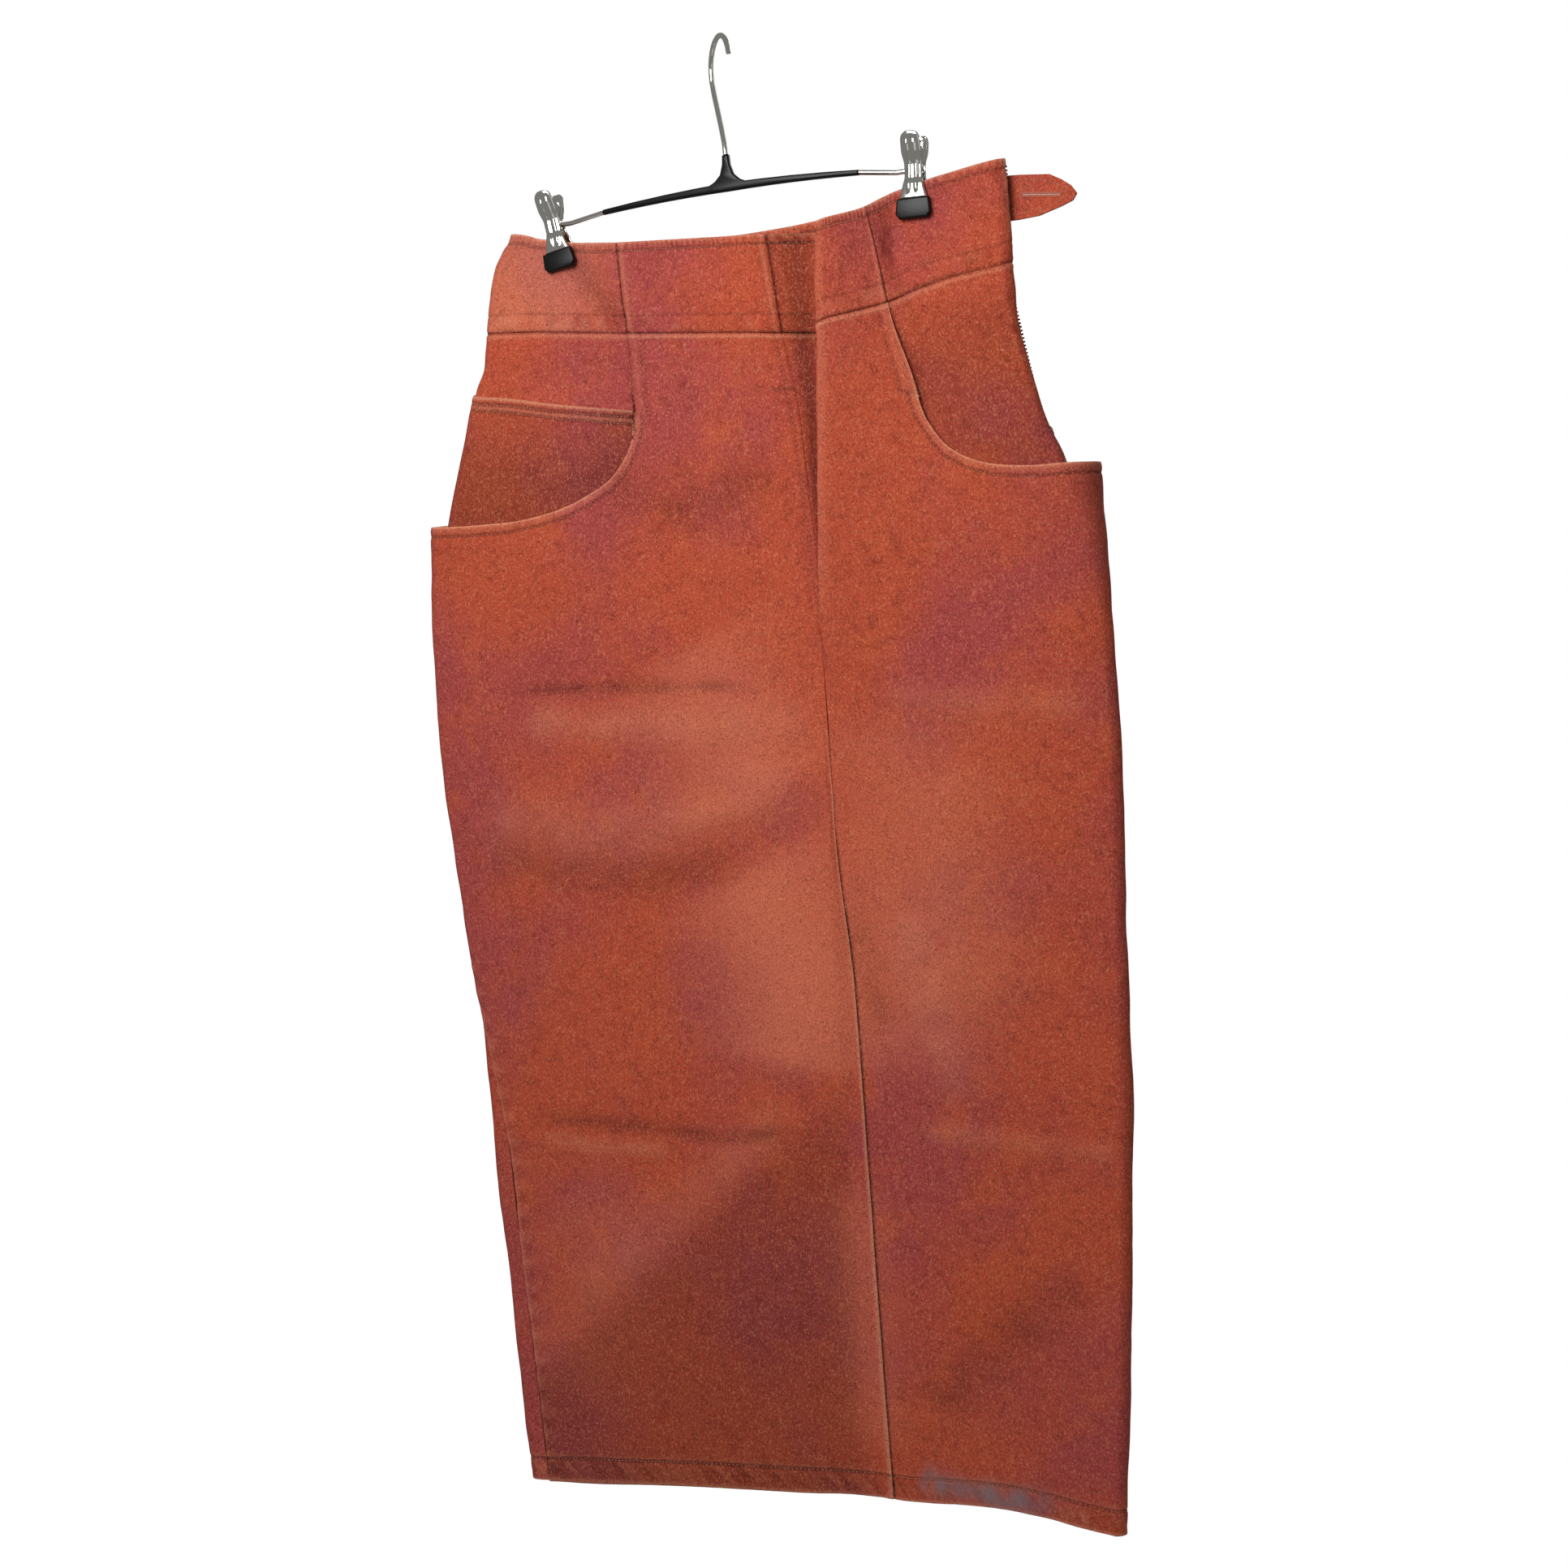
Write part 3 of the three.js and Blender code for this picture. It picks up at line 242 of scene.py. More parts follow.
def right_seam(z):
    return look(SIDE_SEAM["z"], SIDE_SEAM["right"], z)


ZIP_END_Z = -302
ZIP_TOP_GAP = 15


def zip_gap(z):
    return np.where(z > ZIP_END_Z, mix(2.2, ZIP_TOP_GAP, ease(z, ZIP_END_Z, -112)), 0.5)


def soft_noise(x, y, size, seed):
    """Smooth random value from -1 to 1 over places in millimetres, with bumps of this size."""
    grid = np.random.RandomState(seed).uniform(-1, 1, (64, 64))
    u, v = x / size, y / size
    iu, iv = np.floor(u).astype(int), np.floor(v).astype(int)
    fu, fv = u - iu, v - iv
    fu, fv = fu * fu * (3 - 2 * fu), fv * fv * (3 - 2 * fv)
    pick = lambda a, b: grid[(iu + a) % 64, (iv + b) % 64]
    return mix(mix(pick(0, 0), pick(1, 0), fu), mix(pick(0, 1), pick(1, 1), fu), fv)


# Materials.
def linear(hex_colour):
    """sRGB hex to linear RGBA."""
    parts = [int(hex_colour[k:k + 2], 16) / 255 for k in (1, 3, 5)]
    return (*[p / 12.92 if p <= 0.04045 else ((p + 0.055) / 1.055) ** 2.4 for p in parts], 1)


def new_material(name):
    material = bpy.data.materials.new(name)
    material.use_nodes = True
    return material, material.node_tree


def add_node(tree, kind, settings=None, links=None):
    """Adds a shader node; settings go to its properties or sockets, links to its inputs."""
    node = tree.nodes.new(kind)
    for key, value in (settings or {}).items():
        if isinstance(key, str) and hasattr(node, key):
            setattr(node, key, value)
        else:
            node.inputs[key].default_value = value
    for key, source in (links or {}).items():
        tree.links.new(source, node.inputs[key])
    return node


def mixed(tree, a, b, factor, blend="MIX"):
    """Colour mix of two colours or sockets by a socket or a value."""
    node = tree.nodes.new("ShaderNodeMix")
    node.data_type = "RGBA"
    node.blend_type = blend
    for index, value in ((0, factor), (6, a), (7, b)):
        if isinstance(value, bpy.types.NodeSocket):
            tree.links.new(value, node.inputs[index])
        else:
            node.inputs[index].default_value = value
    return node.outputs[2]


def ranged(tree, source, low, high, start=0.0, end=1.0):
    """Socket value from low to high mapped onto start to end, held inside them."""
    node = add_node(tree, "ShaderNodeMapRange", links={0: source})
    for index, value in ((1, low), (2, high), (3, start), (4, end)):
        node.inputs[index].default_value = value
    return node.outputs[0]


# Washed denim: uneven rust dye, paler where seams have rubbed; painted highlight on crests, painted
# shade in recesses.
denim, tree = new_material("washed_denim")
shader = tree.nodes["Principled BSDF"]
coords = add_node(tree, "ShaderNodeTexCoord").outputs["Object"]


def noise_socket(tree, coords, scale, detail=3.0, rough=0.55, stretch=(1, 1, 1)):
    mapped = add_node(tree, "ShaderNodeMapping", {"Scale": stretch}, {"Vector": coords})
    node = add_node(tree, "ShaderNodeTexNoise",
                    {"Scale": scale, "Detail": detail, "Roughness": rough},
                    {"Vector": mapped.outputs[0]})
    return node.outputs["Fac"] if "Fac" in node.outputs else node.outputs[0]


def attribute(tree, name):
    return add_node(tree, "ShaderNodeAttribute", {"attribute_name": name}).outputs["Fac"]


broad = noise_socket(tree, coords, 6, 2)
patchy = noise_socket(tree, coords, 30, 4, 0.62)
mottle = noise_socket(tree, coords, 130, 5, 0.7)
fibre = noise_socket(tree, coords, 760, 3, 0.7, (1, 1, 0.6))
pepper = noise_socket(tree, coords, 950, 2, 0.65)
colour = mixed(tree, linear("#ad4730"), linear("#9a3e40"), ranged(tree, broad, 0.42, 0.6, 0, 0.9))
colour = mixed(tree, colour, linear("#b5502f"), ranged(tree, patchy, 0.5, 0.72, 0, 0.6))
colour = mixed(tree, colour, linear("#76281c"), ranged(tree, mottle, 0.5, 0.72, 0, 0.6))
# Painted highlight: brighter orange over the lit parts of the front.
colour = mixed(tree, colour, linear("#c86a50"), attribute(tree, "painted_highlight"))
# Paler where seams and edges have rubbed, and painted highlight on raised crests and ridges.
colour = mixed(tree, colour, linear("#dc9474"), attribute(tree, "wear_and_highlight"))
# Painted shade in grooves, seam lines, folds and under laps, with some uneven dark tone.
colour = mixed(tree, colour, linear("#2c0b06"), attribute(tree, "shade_and_dark_tone"))
colour = mixed(tree, colour, linear("#dc8c68"), ranged(tree, fibre, 0.5, 0.72, 0, 0.5))
colour = mixed(tree, colour, linear("#54180f"), ranged(tree, pepper, 0.5, 0.68, 0, 0.65))
colour = mixed(tree, colour, linear("#74686e"), attribute(tree, "stain"))
tree.links.new(colour, shader.inputs["Base Color"])
shader.inputs["Roughness"].default_value = 0.95
shader.inputs["Specular IOR Level"].default_value = 0.15
grain = noise_socket(tree, coords, 420, 4, 0.65)
bump = add_node(tree, "ShaderNodeBump", {"Strength": 0.5, "Distance": 0.0008}, {"Height": grain})
soft = add_node(tree, "ShaderNodeBump", {"Strength": 0.4, "Distance": 0.002},
                {"Height": patchy, "Normal": bump.outputs[0]})
tree.links.new(soft.outputs[0], shader.inputs["Normal"])


def plain_material(name, hex_colour, rough, metal=0.0, gloss=0.5):
    material, tree = new_material(name)
    shader = tree.nodes["Principled BSDF"]
    shader.inputs["Base Color"].default_value = linear(hex_colour)
    shader.inputs["Roughness"].default_value = rough
    shader.inputs["Metallic"].default_value = metal
    shader.inputs["Specular IOR Level"].default_value = gloss
    return material


thread = plain_material("polyester_thread", "#a85a45", 0.7)
woven_tape = plain_material("woven_zip_tape", "#3a201c", 0.9)
blackened = plain_material("blackened_brass", "#2b2420", 0.4, 1.0)
dull_brass = plain_material("dulled_brass", "#7d6a45", 0.35, 1.0)
plated = plain_material("chrome_plated_steel", "#e6e4dc", 0.08, 1.0)
black_vinyl = plain_material("black_moulded_vinyl", "#080808", 0.35, 0.0, 0.2)


# Cloth pieces: fine grids laid on the hung shape and given a wall.
cloths, surfaces = {}, {}


def cloth_piece(name, columns, rows, place, level, wall, relief, hem=False):
    """Grid whose place(u, v) gives the place round the section and the height of each point."""
    grid = bmesh.new()
    bmesh.ops.create_grid(grid, x_segments=columns - 1, y_segments=rows - 1, size=0.5)
    mesh = bpy.data.meshes.new(name + "_cloth")
    grid.to_mesh(mesh)
    grid.free()
    flat = np.zeros(len(mesh.vertices) * 3)
    mesh.vertices.foreach_get("co", flat)
    flat = flat.reshape(-1, 3)
    at, z = place(flat[:, 0] + 0.5, 0.5 - flat[:, 1])
    x_flat = on_section(at, z)[0]
    lift, marks = relief(at, z, x_flat)
    x, y, _, _ = on_section(at, z, level(at, z) + wall / 2 + lift)
    mesh.vertices.foreach_set("co", np.stack([x, y, z], axis=1).ravel() * MM)
    for key in ("wear_and_highlight", "shade_and_dark_tone", "painted_highlight", "stain"):
        values = np.clip(marks.get(key, 0 * z), 0, 1).astype(np.float32)
        mesh.attributes.new(key, "FLOAT", "POINT").data.foreach_set("value", values)
    mesh.materials.append(denim)
    for polygon in mesh.polygons:
        polygon.use_smooth = True
    piece = bpy.data.objects.new(name + "_cloth", mesh)
    bpy.context.scene.collection.objects.link(piece)
    solid = piece.modifiers.new("wall", "SOLIDIFY")
    solid.thickness = wall * MM
    solid.offset = -1
    if hem:
        group = piece.vertex_groups.new(name="wall")
        edge = round_table(HEM, "z", at)
        share = np.where(z < edge + 18, 1.0, CLOTH_WALL / HEM_WALL)
        for index, value in enumerate(share):
            group.add([index], float(value), "REPLACE")
        solid.thickness = HEM_WALL * MM
        solid.vertex_group = "wall"
    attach(piece, "root")
    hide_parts(name)
    cloths[name] = piece
    surfaces[name] = lambda at, z: (
        level(at, z) + wall / 2 + relief(at, z, on_section(at, z)[0])[0])
    return piece


def flat_level(at, z):
    return 0 * at


def facing_level(at, z):
    return -FACING_SET_BACK * ease(z, -200, -236)


def coin_level(at, z):
    return facing_level(at, z) + CLOTH_WALL / 2 + COIN_WALL / 2 + 0.6


def front_edge_right(z):
    return right_seam(z) - zip_gap(z) / 2


def back_edge_right(z):
    return right_seam(z) + zip_gap(z) / 2


SEAM_GAP = 0.03


def line_distance(x, z, points):
    """Distance of each point from a line through these points, and how far along it lies."""
    best, share = np.full(len(x), 1e9), np.zeros(len(x))
    total = len(points) - 1
    for k in range(total):
        (x0, z0), (x1, z1) = points[k], points[k + 1]
        dx, dz = x1 - x0, z1 - z0
        part = np.clip(((x - x0) * dx + (z - z0) * dz) / (dx * dx + dz * dz), 0, 1)
        distance = np.hypot(x - x0 - part * dx, z - z0 - part * dz)
        near = distance < best
        best = np.where(near, distance, best)
        share = np.where(near, (k + part) / total, share)
    return best, share


def bump_at(distance, width):
    return np.exp(-(distance / width) ** 2)


def crease(x, z, points, width):
    """Soft line through these points, from 1 on it to 0 beside it and at its ends."""
    distance, share = line_distance(x, z, points)
    return bump_at(distance, width) * ease(share, 0, 0.15) * ease(share, 1, 0.85)


CENTRE_STITCH = 8
PRINCESS_STITCH = 12.5
WAIST_STITCH = 6.5
BAND_STITCH = 13


def band_relief(at, z, x):
    lift = 0.6 * soft_noise(at, z, 24, 3) + 0.4 * soft_noise(at, z * 1.6, 10, 4)
    from_top = round_table(WAIST, "top", at) - z
    from_seam = z - round_table(WAIST, "seam", at)
    lift = lift * ease(from_top, 0, 6)
    puckers = np.sin(at * 2 * math.pi / 5.6 + 3 * soft_noise(at, z, 18, 21))
    near_top = bump_at(from_top - 3, 2.6)
    near_seam = bump_at(from_seam - 8, 5)
    groove = bump_at(from_top - WAIST_STITCH, 1.1)
    lower = bump_at(from_seam - BAND_STITCH, 1.0)
    lift = lift + 0.3 * puckers * near_top - 0.6 * groove - 0.3 * lower
    lift = lift + 0.25 * soft_noise(at, z, 7, 22) * near_seam - 0.8 * bump_at(from_seam, 1.6)
    front = (at > 20) & (at < 560)
    beside = np.where(front, bump_at(at - LEFT_PRINCESS - 5, 2.5)
                      + bump_at(at - CENTRE_FRONT + 5, 2.2) + bump_at(at - RIGHT_PRINCESS + 4, 2.5), 0)
    seam_line = np.where(front, bump_at(at - LEFT_PRINCESS, 1.4) + bump_at(at - CENTRE_FRONT, 1.3)
                         + bump_at(at - RIGHT_PRINCESS, 1.3), 0)
    fly = bump_at(at - CENTRE_FRONT + CENTRE_STITCH, 1.2)
    lift = lift + 0.6 * beside - 0.7 * seam_line - 0.4 * fly
    drag = crease(x, z, ((-140, -128), (-112, -168), (-84, -200)), 9)
    lift = lift - 1.4 * np.where(at < 300, drag, 0)
    by_zip = bump_at(at - front_edge_right(z) + 1.5, 3) * (at > 500) * (at < 578)
    lift = lift + 0.4 * by_zip
    # Pale rubbed top edge, seam ridges and zip edge, paler towards the left end and in patches near
    # the band seam; painted highlight on pucker crests and the fold ridge at 374.
    wear_and_highlight = (0.45 * bump_at(from_top, 1.6) + 0.2 * beside + 0.18 * np.clip(puckers, 0, 1) * near_top
            + 0.22 * ease(x, -70, -150) * (at < 300) + 0.22 * near_seam * soft_noise(at, z, 12, 23)
            + 0.4 * by_zip + 0.12 * bump_at(at - 374, 9))
    # Painted shade in the stitch grooves, seam lines, drag crease, pucker troughs and the valley at
    # 338; uneven dark tone near the band seam.
    shade_and_dark_tone = (0.55 * groove + 0.25 * lower + 0.55 * bump_at(from_seam, 1.3) + 0.5 * seam_line
            + 0.22 * fly + 0.3 * np.where(at < 300, drag, 0)
            + 0.2 * np.clip(-puckers, 0, 1) * near_top + 0.5 * bump_at(at - 338, 9)
            + 0.28 * near_seam * np.clip(soft_noise(at, z * 0.7, 15, 24), 0, 1))
    return lift, {"wear_and_highlight": wear_and_highlight, "shade_and_dark_tone": shade_and_dark_tone}


def add_band(name, first, last, columns, start, end):
    def place(u, v):
        rough = mix(first, last, u)
        top = round_table(WAIST, "top", rough)
        seam = round_table(WAIST, "seam", rough) + SEAM_GAP
        z = mix(top, seam, v)
        return mix(start(z), end(z), u), z

    return cloth_piece(name, columns, 76, place, flat_level, BAND_WALL, band_relief)


def fixed(at):
    return lambda z: 0 * z + at


bands = [
    add_band("band_front_side_left", -16, LEFT_PRINCESS, 110,
             lambda z: left_seam(z) + 0.4, fixed(LEFT_PRINCESS - SEAM_GAP)),
    add_band("band_front_centre_left", LEFT_PRINCESS, CENTRE_FRONT, 110,
             fixed(LEFT_PRINCESS + SEAM_GAP), fixed(CENTRE_FRONT - SEAM_GAP)),
    add_band("band_front_centre_right", CENTRE_FRONT, RIGHT_PRINCESS, 120,
             fixed(CENTRE_FRONT + SEAM_GAP), fixed(RIGHT_PRINCESS - SEAM_GAP)),
    add_band("band_front_side_right", RIGHT_PRINCESS, 568, 90,
             fixed(RIGHT_PRINCESS + SEAM_GAP), front_edge_right),
    add_band("back_band", 583, GIRTH - 16, 200,
             back_edge_right, lambda z: left_seam(z) - 0.4 + GIRTH),
]

# Pocket mouths, facings and coin pocket.
MOUTH_LEFT = {
    "at": (-16, -10, -4, 2, 9, 22, 45, 72, 99, 120, 138, 154, 167, 175, 178),
    "z": (-328, -328.5, -329, -330, -331, -332, -333, -333, -330.5, -326, -319, -310, -296, -281,
          -268),
}
MOUTH_RIGHT = {
    "at": (454, 456, 462, 472, 486, 505, 525, 543, 554, 561, 568, 575, 582, 588, 594, 600),
    "z": (-270, -284, -296, -309, -318, -324.5, -327.5, -329, -329, -329, -328.7, -328.3, -328,
          -328, -328, -328),
}
MOUTH_DROP = {
    "z": (-265, -325, -340, -355, -375, -400, -430),
    "left": (10.3, 10.3, 8.8, 6.6, 3.4, 1.5, 0),
    "right": (18.5, 18.5, 16, 12.5, 8, 3.4, 0),
}
SPREAD_LEFT = {"at": (-16, -4, 10, 60, 120, 178), "part": (0, 0.85, 1, 0.55, 0.2, 0)}
SPREAD_RIGHT = {"at": (454, 500, 540, 560, 572, 600), "part": (0, 0.25, 0.75, 1, 1, 0)}
MOUTH_LAP = 14


def facing_relief(at, z, x):
    below = round_table(WAIST, "seam", at) - z
    lift = 0.4 * soft_noise(at, z, 30, 7) + 0.25 * soft_noise(at, z, 12, 8)
    rim = bump_at(below, 1.2)
    side = bump_at(at - RIGHT_PRINCESS, 5) + bump_at(at - LEFT_PRINCESS, 3)
    lift = lift - 0.5 * rim + 0.5 * bump_at(below - 3, 1.8)
    # Pale ridge below the waist seam, from wear and painted highlight; painted shade under the seam,
    # at the princess seams and down the right facing.
    wear_and_highlight = 0.3 * bump_at(below - 2.8, 1.6)
    shade_and_dark_tone = 0.4 * rim + 0.3 * side + 0.24 * (at > 400) * ease(below, 4, 50)
    return lift, {"wear_and_highlight": wear_and_highlight, "shade_and_dark_tone": shade_and_dark_tone}


def add_facing(name, first, last, columns, start, end, mouth):
    def place(u, v):
        rough = mix(first, last, u)
        top = round_table(WAIST, "seam", rough) - SEAM_GAP
        low = look(mouth["at"], mouth["z"], rough) - MOUTH_LAP
        z = mix(top, low, v)
        return mix(start(z), end(z), u), z

    return cloth_piece(name, columns, 60, place, facing_level, CLOTH_WALL, facing_relief)


UNDER_PANEL = 5


def under_panel(z):
    return UNDER_PANEL * ease(z, -220, -240)


facing_left = add_facing("pocket_facing_left", -16, LEFT_PRINCESS, 80,
                         lambda z: left_seam(z) + 0.4,
                         lambda z: LEFT_PRINCESS - SEAM_GAP + under_panel(z), MOUTH_LEFT)
facing_right = add_facing("pocket_facing_right", RIGHT_PRINCESS, 568, 70,
                          lambda z: RIGHT_PRINCESS + SEAM_GAP - under_panel(z), front_edge_right,
                          MOUTH_RIGHT)

COIN_EDGE = {"at": (-16, 10, 50, 96, 178), "z": (-231, -233.5, -238.5, -246.5, -259)}


def coin_relief(at, z, x):
    from_edge = look(COIN_EDGE["at"], COIN_EDGE["z"], at) - z
    grooves = bump_at(from_edge - 5.5, 1.0) + bump_at(from_edge - 10.5, 1.0)
    lift = 0.4 * soft_noise(at, z, 24, 9) - 0.4 * grooves + 0.4 * bump_at(from_edge - 2.5, 1.8)
    # Pale folded edge and ridge between the rows, from wear and painted highlight; painted shade in
    # the stitch grooves; the pocket is darker all over, more so downwards and towards the princess
    # seam.
    wear_and_highlight = 0.75 * bump_at(from_edge - 0.6, 1.7) + 0.3 * bump_at(from_edge - 8, 1.6)
    shade_and_dark_tone = 0.55 * grooves + 0.18 + 0.22 * ease(from_edge, 14, 60) + 0.25 * ease(at, 120, 178)
    return lift, {"wear_and_highlight": wear_and_highlight, "shade_and_dark_tone": shade_and_dark_tone}


def coin_place(u, v):
    rough = mix(-16, LEFT_PRINCESS, u)
    top = look(COIN_EDGE["at"], COIN_EDGE["z"], rough)
    z = mix(top, look(MOUTH_LEFT["at"], MOUTH_LEFT["z"], rough) - MOUTH_LAP + 2, v)
    return mix(left_seam(z) + 1.4, LEFT_PRINCESS - 1.2, u), z


coin_pocket = cloth_piece("coin_pocket", 110, 84, coin_place, coin_level, COIN_WALL, coin_relief)

# Panels: upper edge along the mouth, the princess seam and the band seam, down to the hem.
LOW_TOP = -350
HEM_ZONE = 24
TOP_ROWS_SHARE = 0.36
HEM_ROWS_SHARE = 0.87

# Soft marks on the front: line (x, z), width, height in millimetres, how much painted shade, how much
# painted highlight.
MARKS = {
    "upper_store_fold": (((-205, -460), (-129, -463), (-60, -465), (10, -470)), 4, -1.6, 0.42, 0),
    "upper_fold_light": (((-200, -485), (-89, -492), (50, -496)), 13, 1.3, 0, 0.2),
    "upper_fold_right": (((100, -478), (157, -487), (266, -496)), 10, 0.9, 0, 0.12),
    "thigh_crest": (((-250, -560), (-150, -572), (-50, -562), (40, -530)), 26, 2.4, 0, 0.14),
    "thigh_shade": (((-245, -585), (-164, -602), (-99, -610), (-10, -592)), 15, -1.4, 0.26, 0),
    "lower_store_fold": (((-225, -788), (-126, -797), (-54, -805), (20, -795)), 5, -1.6, 0.4, 0),
    "lower_fold_light": (((-215, -806), (-150, -813), (-90, -815)), 5, 0.8, 0, 0.2),
    "lower_fold_right": (((95, -793), (172, -799), (262, -808)), 7, 0.9, 0, 0.14),
    "pocket_shade": (((-120, -312), (-50, -336), (35, -318)), 20, -2.2, 0.22, 0),
    "knee_crest": (((25, -765), (-85, -855), (-200, -950)), 18, 2.4, 0, 0.1),
    "hip_crest": (((98, -630), (124, -703), (144, -780)), 15, 2.0, 0, 0.14),
    "hip_shade": (((68, -630), (72, -668), (84, -730)), 12, -1.2, 0.2, 0),
    "right_trough": (((100, -1008), (125, -985), (193, -924), (225, -895)), 17, -2.2, 0.26, 0),
    "right_column": (((150, -520), (150, -620), (160, -720)), 40, 1.5, 0, 0.08),
    "left_column": (((-150, -360), (-160, -420), (-150, -450)), 40, 1.0, 0.04, 0),
}
# Painted highlight, brighter orange on the lit parts of the front: line (x, z), width in millimetres,
# how strong.
PAINTED_HIGHLIGHTS = (
    (((-60, -430), (-25, -500), (0, -560)), 60, 0.5),
    (((-20, -590), (20, -680), (10, -760)), 60, 0.75),
    (((100, -480), (110, -620), (120, -760)), 60, 0.35),
    (((50, -820), (55, -950), (60, -1040)), 22, 0.4),
    (((-200, -850), (-150, -900), (-215, -1020)), 50, 0.2),
)


def panel_relief(at, z, x):
    """Cloth waves, store folds, stitched seams and the roped hem of a panel, with painted shade and
    painted highlight on them.
    """
    up = z - round_table(HEM, "z", at)
    lift = 1.1 * soft_noise(at, z, 70, 11) + 0.45 * soft_noise(at, z, 26, 12)
    lift = lift + 0.16 * soft_noise(at, z, 9, 13)
    rope = bump_at(up - 9, 8) * (0.4 * np.sin((at + 0.8 * up) * 2 * math.pi / 10.5
                                              + 4 * soft_noise(at, z, 24, 14))
                                 + 0.9 * soft_noise(at + 0.8 * up, z * 0.3, 8, 15))
    stitch = bump_at(up - 17.5, 1.3)
    lift = lift + 0.55 * rope - 0.7 * stitch
    # Hem: pale rubbed edge; painted highlight on the rope crests and above the stitching; painted
    # shade in the stitch groove and rope troughs; darker over the lowest 25 mm.
    wear_and_highlight = 0.5 * bump_at(up, 1.8) + 0.2 * np.clip(rope, 0, 1) + 0.12 * bump_at(up - 20, 1.5)
    shade_and_dark_tone = 0.5 * stitch + 0.26 * np.clip(-rope, 0, 1) + 0.1 * ease(up, 25, 10)
    front = (at > -17) & (at < 600)
    # Marks: painted highlight on raised crests, painted shade in sunk creases and troughs.
    for points, width, height, shade, crest_highlight in MARKS.values():
        mark = np.where(front, crease(x, z, points, width), 0)
        mark = mark * (0.85 + 0.45 * soft_noise(at, z, 16, 41))
        lift, shade_and_dark_tone, wear_and_highlight = lift + height * mark, shade_and_dark_tone + shade * mark, wear_and_highlight + crest_highlight * mark
    # Painted highlight over the lit parts of the front.
    painted_highlight = 0 * z
    for points, width, strength in PAINTED_HIGHLIGHTS:
        painted_highlight = painted_highlight + strength * np.where(front, crease(x, z, points, width), 0)
    # Painted shade in the valley right of the centre front seam, painted highlight on the ridge beside
    # it.
    valley = bump_at(at - 338, 9) * ease(z, -450, -370) * front
    ridge = bump_at(at - 374, 9) * ease(z, -450, -370) * front
    shade_and_dark_tone, wear_and_highlight = shade_and_dark_tone + 0.55 * valley, wear_and_highlight + 0.14 * ridge
    # Painted shade below the knee crest, down to the hem left of the centre front.
    below = (z + 784) - (x - 7) * (942 - 784) / (185 + 7)
    shade_below_crest = ease(below, 0, -40) * ease(x, 62, 36) * ease(z, -700, -800) * front
    shade_and_dark_tone = shade_and_dark_tone + 0.3 * shade_below_crest
    # Band seam: painted shade in the groove under it, and a pale ridge below from wear and painted
    # highlight.
    seam_top = round_table(WAIST, "seam", at) - z
    rim = np.where((at > 177) & (at < 455), bump_at(seam_top, 1.2), 0)
    lift = lift - 0.5 * rim + 0.5 * np.where(front, bump_at(seam_top - 3, 1.8), 0)
    wear_and_highlight = wear_and_highlight + 0.4 * np.where((at > 177) & (at < 455), bump_at(seam_top - 2.6, 1.4), 0)
    shade_and_dark_tone = shade_and_dark_tone + 0.4 * rim
    return lift, {"wear_and_highlight": wear_and_highlight, "shade_and_dark_tone": shade_and_dark_tone, "painted_highlight": painted_highlight}


def panel_height(v, top, at):
    """Heights from the upper edge through the level rows to the hem."""
    hem_z = round_table(HEM, "z", at)
    upper = mix(top, LOW_TOP, v / TOP_ROWS_SHARE)
    middle = mix(LOW_TOP, hem_z + HEM_ZONE,
                 (v - TOP_ROWS_SHARE) / (HEM_ROWS_SHARE - TOP_ROWS_SHARE))
    lower = mix(hem_z + HEM_ZONE, hem_z, (v - HEM_ROWS_SHARE) / (1 - HEM_ROWS_SHARE))
    return np.where(v < TOP_ROWS_SHARE, upper, np.where(v < HEM_ROWS_SHARE, middle, lower))


def mouth_level(side, spread):
    def level(at, z):
        drop = look(MOUTH_DROP["z"], MOUTH_DROP[side], z)
        return drop * look(spread["at"], spread["part"], at)
    return level


# Left front panel, side seam first.
LEFT_LOW = (-16, -10, -4, 2, 9, 22, 42, 62, 80, 96, 112, 127, 141, 154, 166, 177, 188, 199, 211,
            224, 238, 253, 270, 288, 308, 328)
left_band = (178, 195, 212, 230, 248, 268, 288, 308, 328)
left_top_at = MOUTH_LEFT["at"] + (178, 178) + left_band
left_top_z = MOUTH_LEFT["z"] + (-247, -226) + tuple(
    round_table(WAIST, "seam", np.array(left_band, float)) - SEAM_GAP)


def left_panel_place(u, v):
    index = np.arange(len(LEFT_LOW))
    column = u * index[-1]
    low_at = look(index, LEFT_LOW, column)
    top_at = look(index, left_top_at, column)
    z = panel_height(v, look(index, left_top_z, column), low_at)
    edge = left_seam(z) + 0.4
    limit = CENTRE_FRONT - SEAM_GAP
    spread = mix(edge, limit, (low_at + 16) / (CENTRE_FRONT + 16))
    start = np.clip(top_at, edge, limit)
    start = np.where(np.abs(top_at - LEFT_PRINCESS) < 0.01, LEFT_PRINCESS + SEAM_GAP, start)
    return mix(start, spread, np.clip(v / TOP_ROWS_SHARE, 0, 1)), z


def mouth_marks(line, inset):
    """Folded edge of a pocket mouth: a rim pale from wear and painted highlight, and a stitched groove
    below it in painted shade.
    """
    rim, groove = bump_at(line, 1.5), bump_at(line - inset, 1.2)
    return (0.35 * bump_at(line - 3, 2.2) - 0.5 * groove,
            0.75 * rim + 0.15 * bump_at(line - 3.5, 2), 0.5 * groove)


MOUTH_STITCH = 7.5


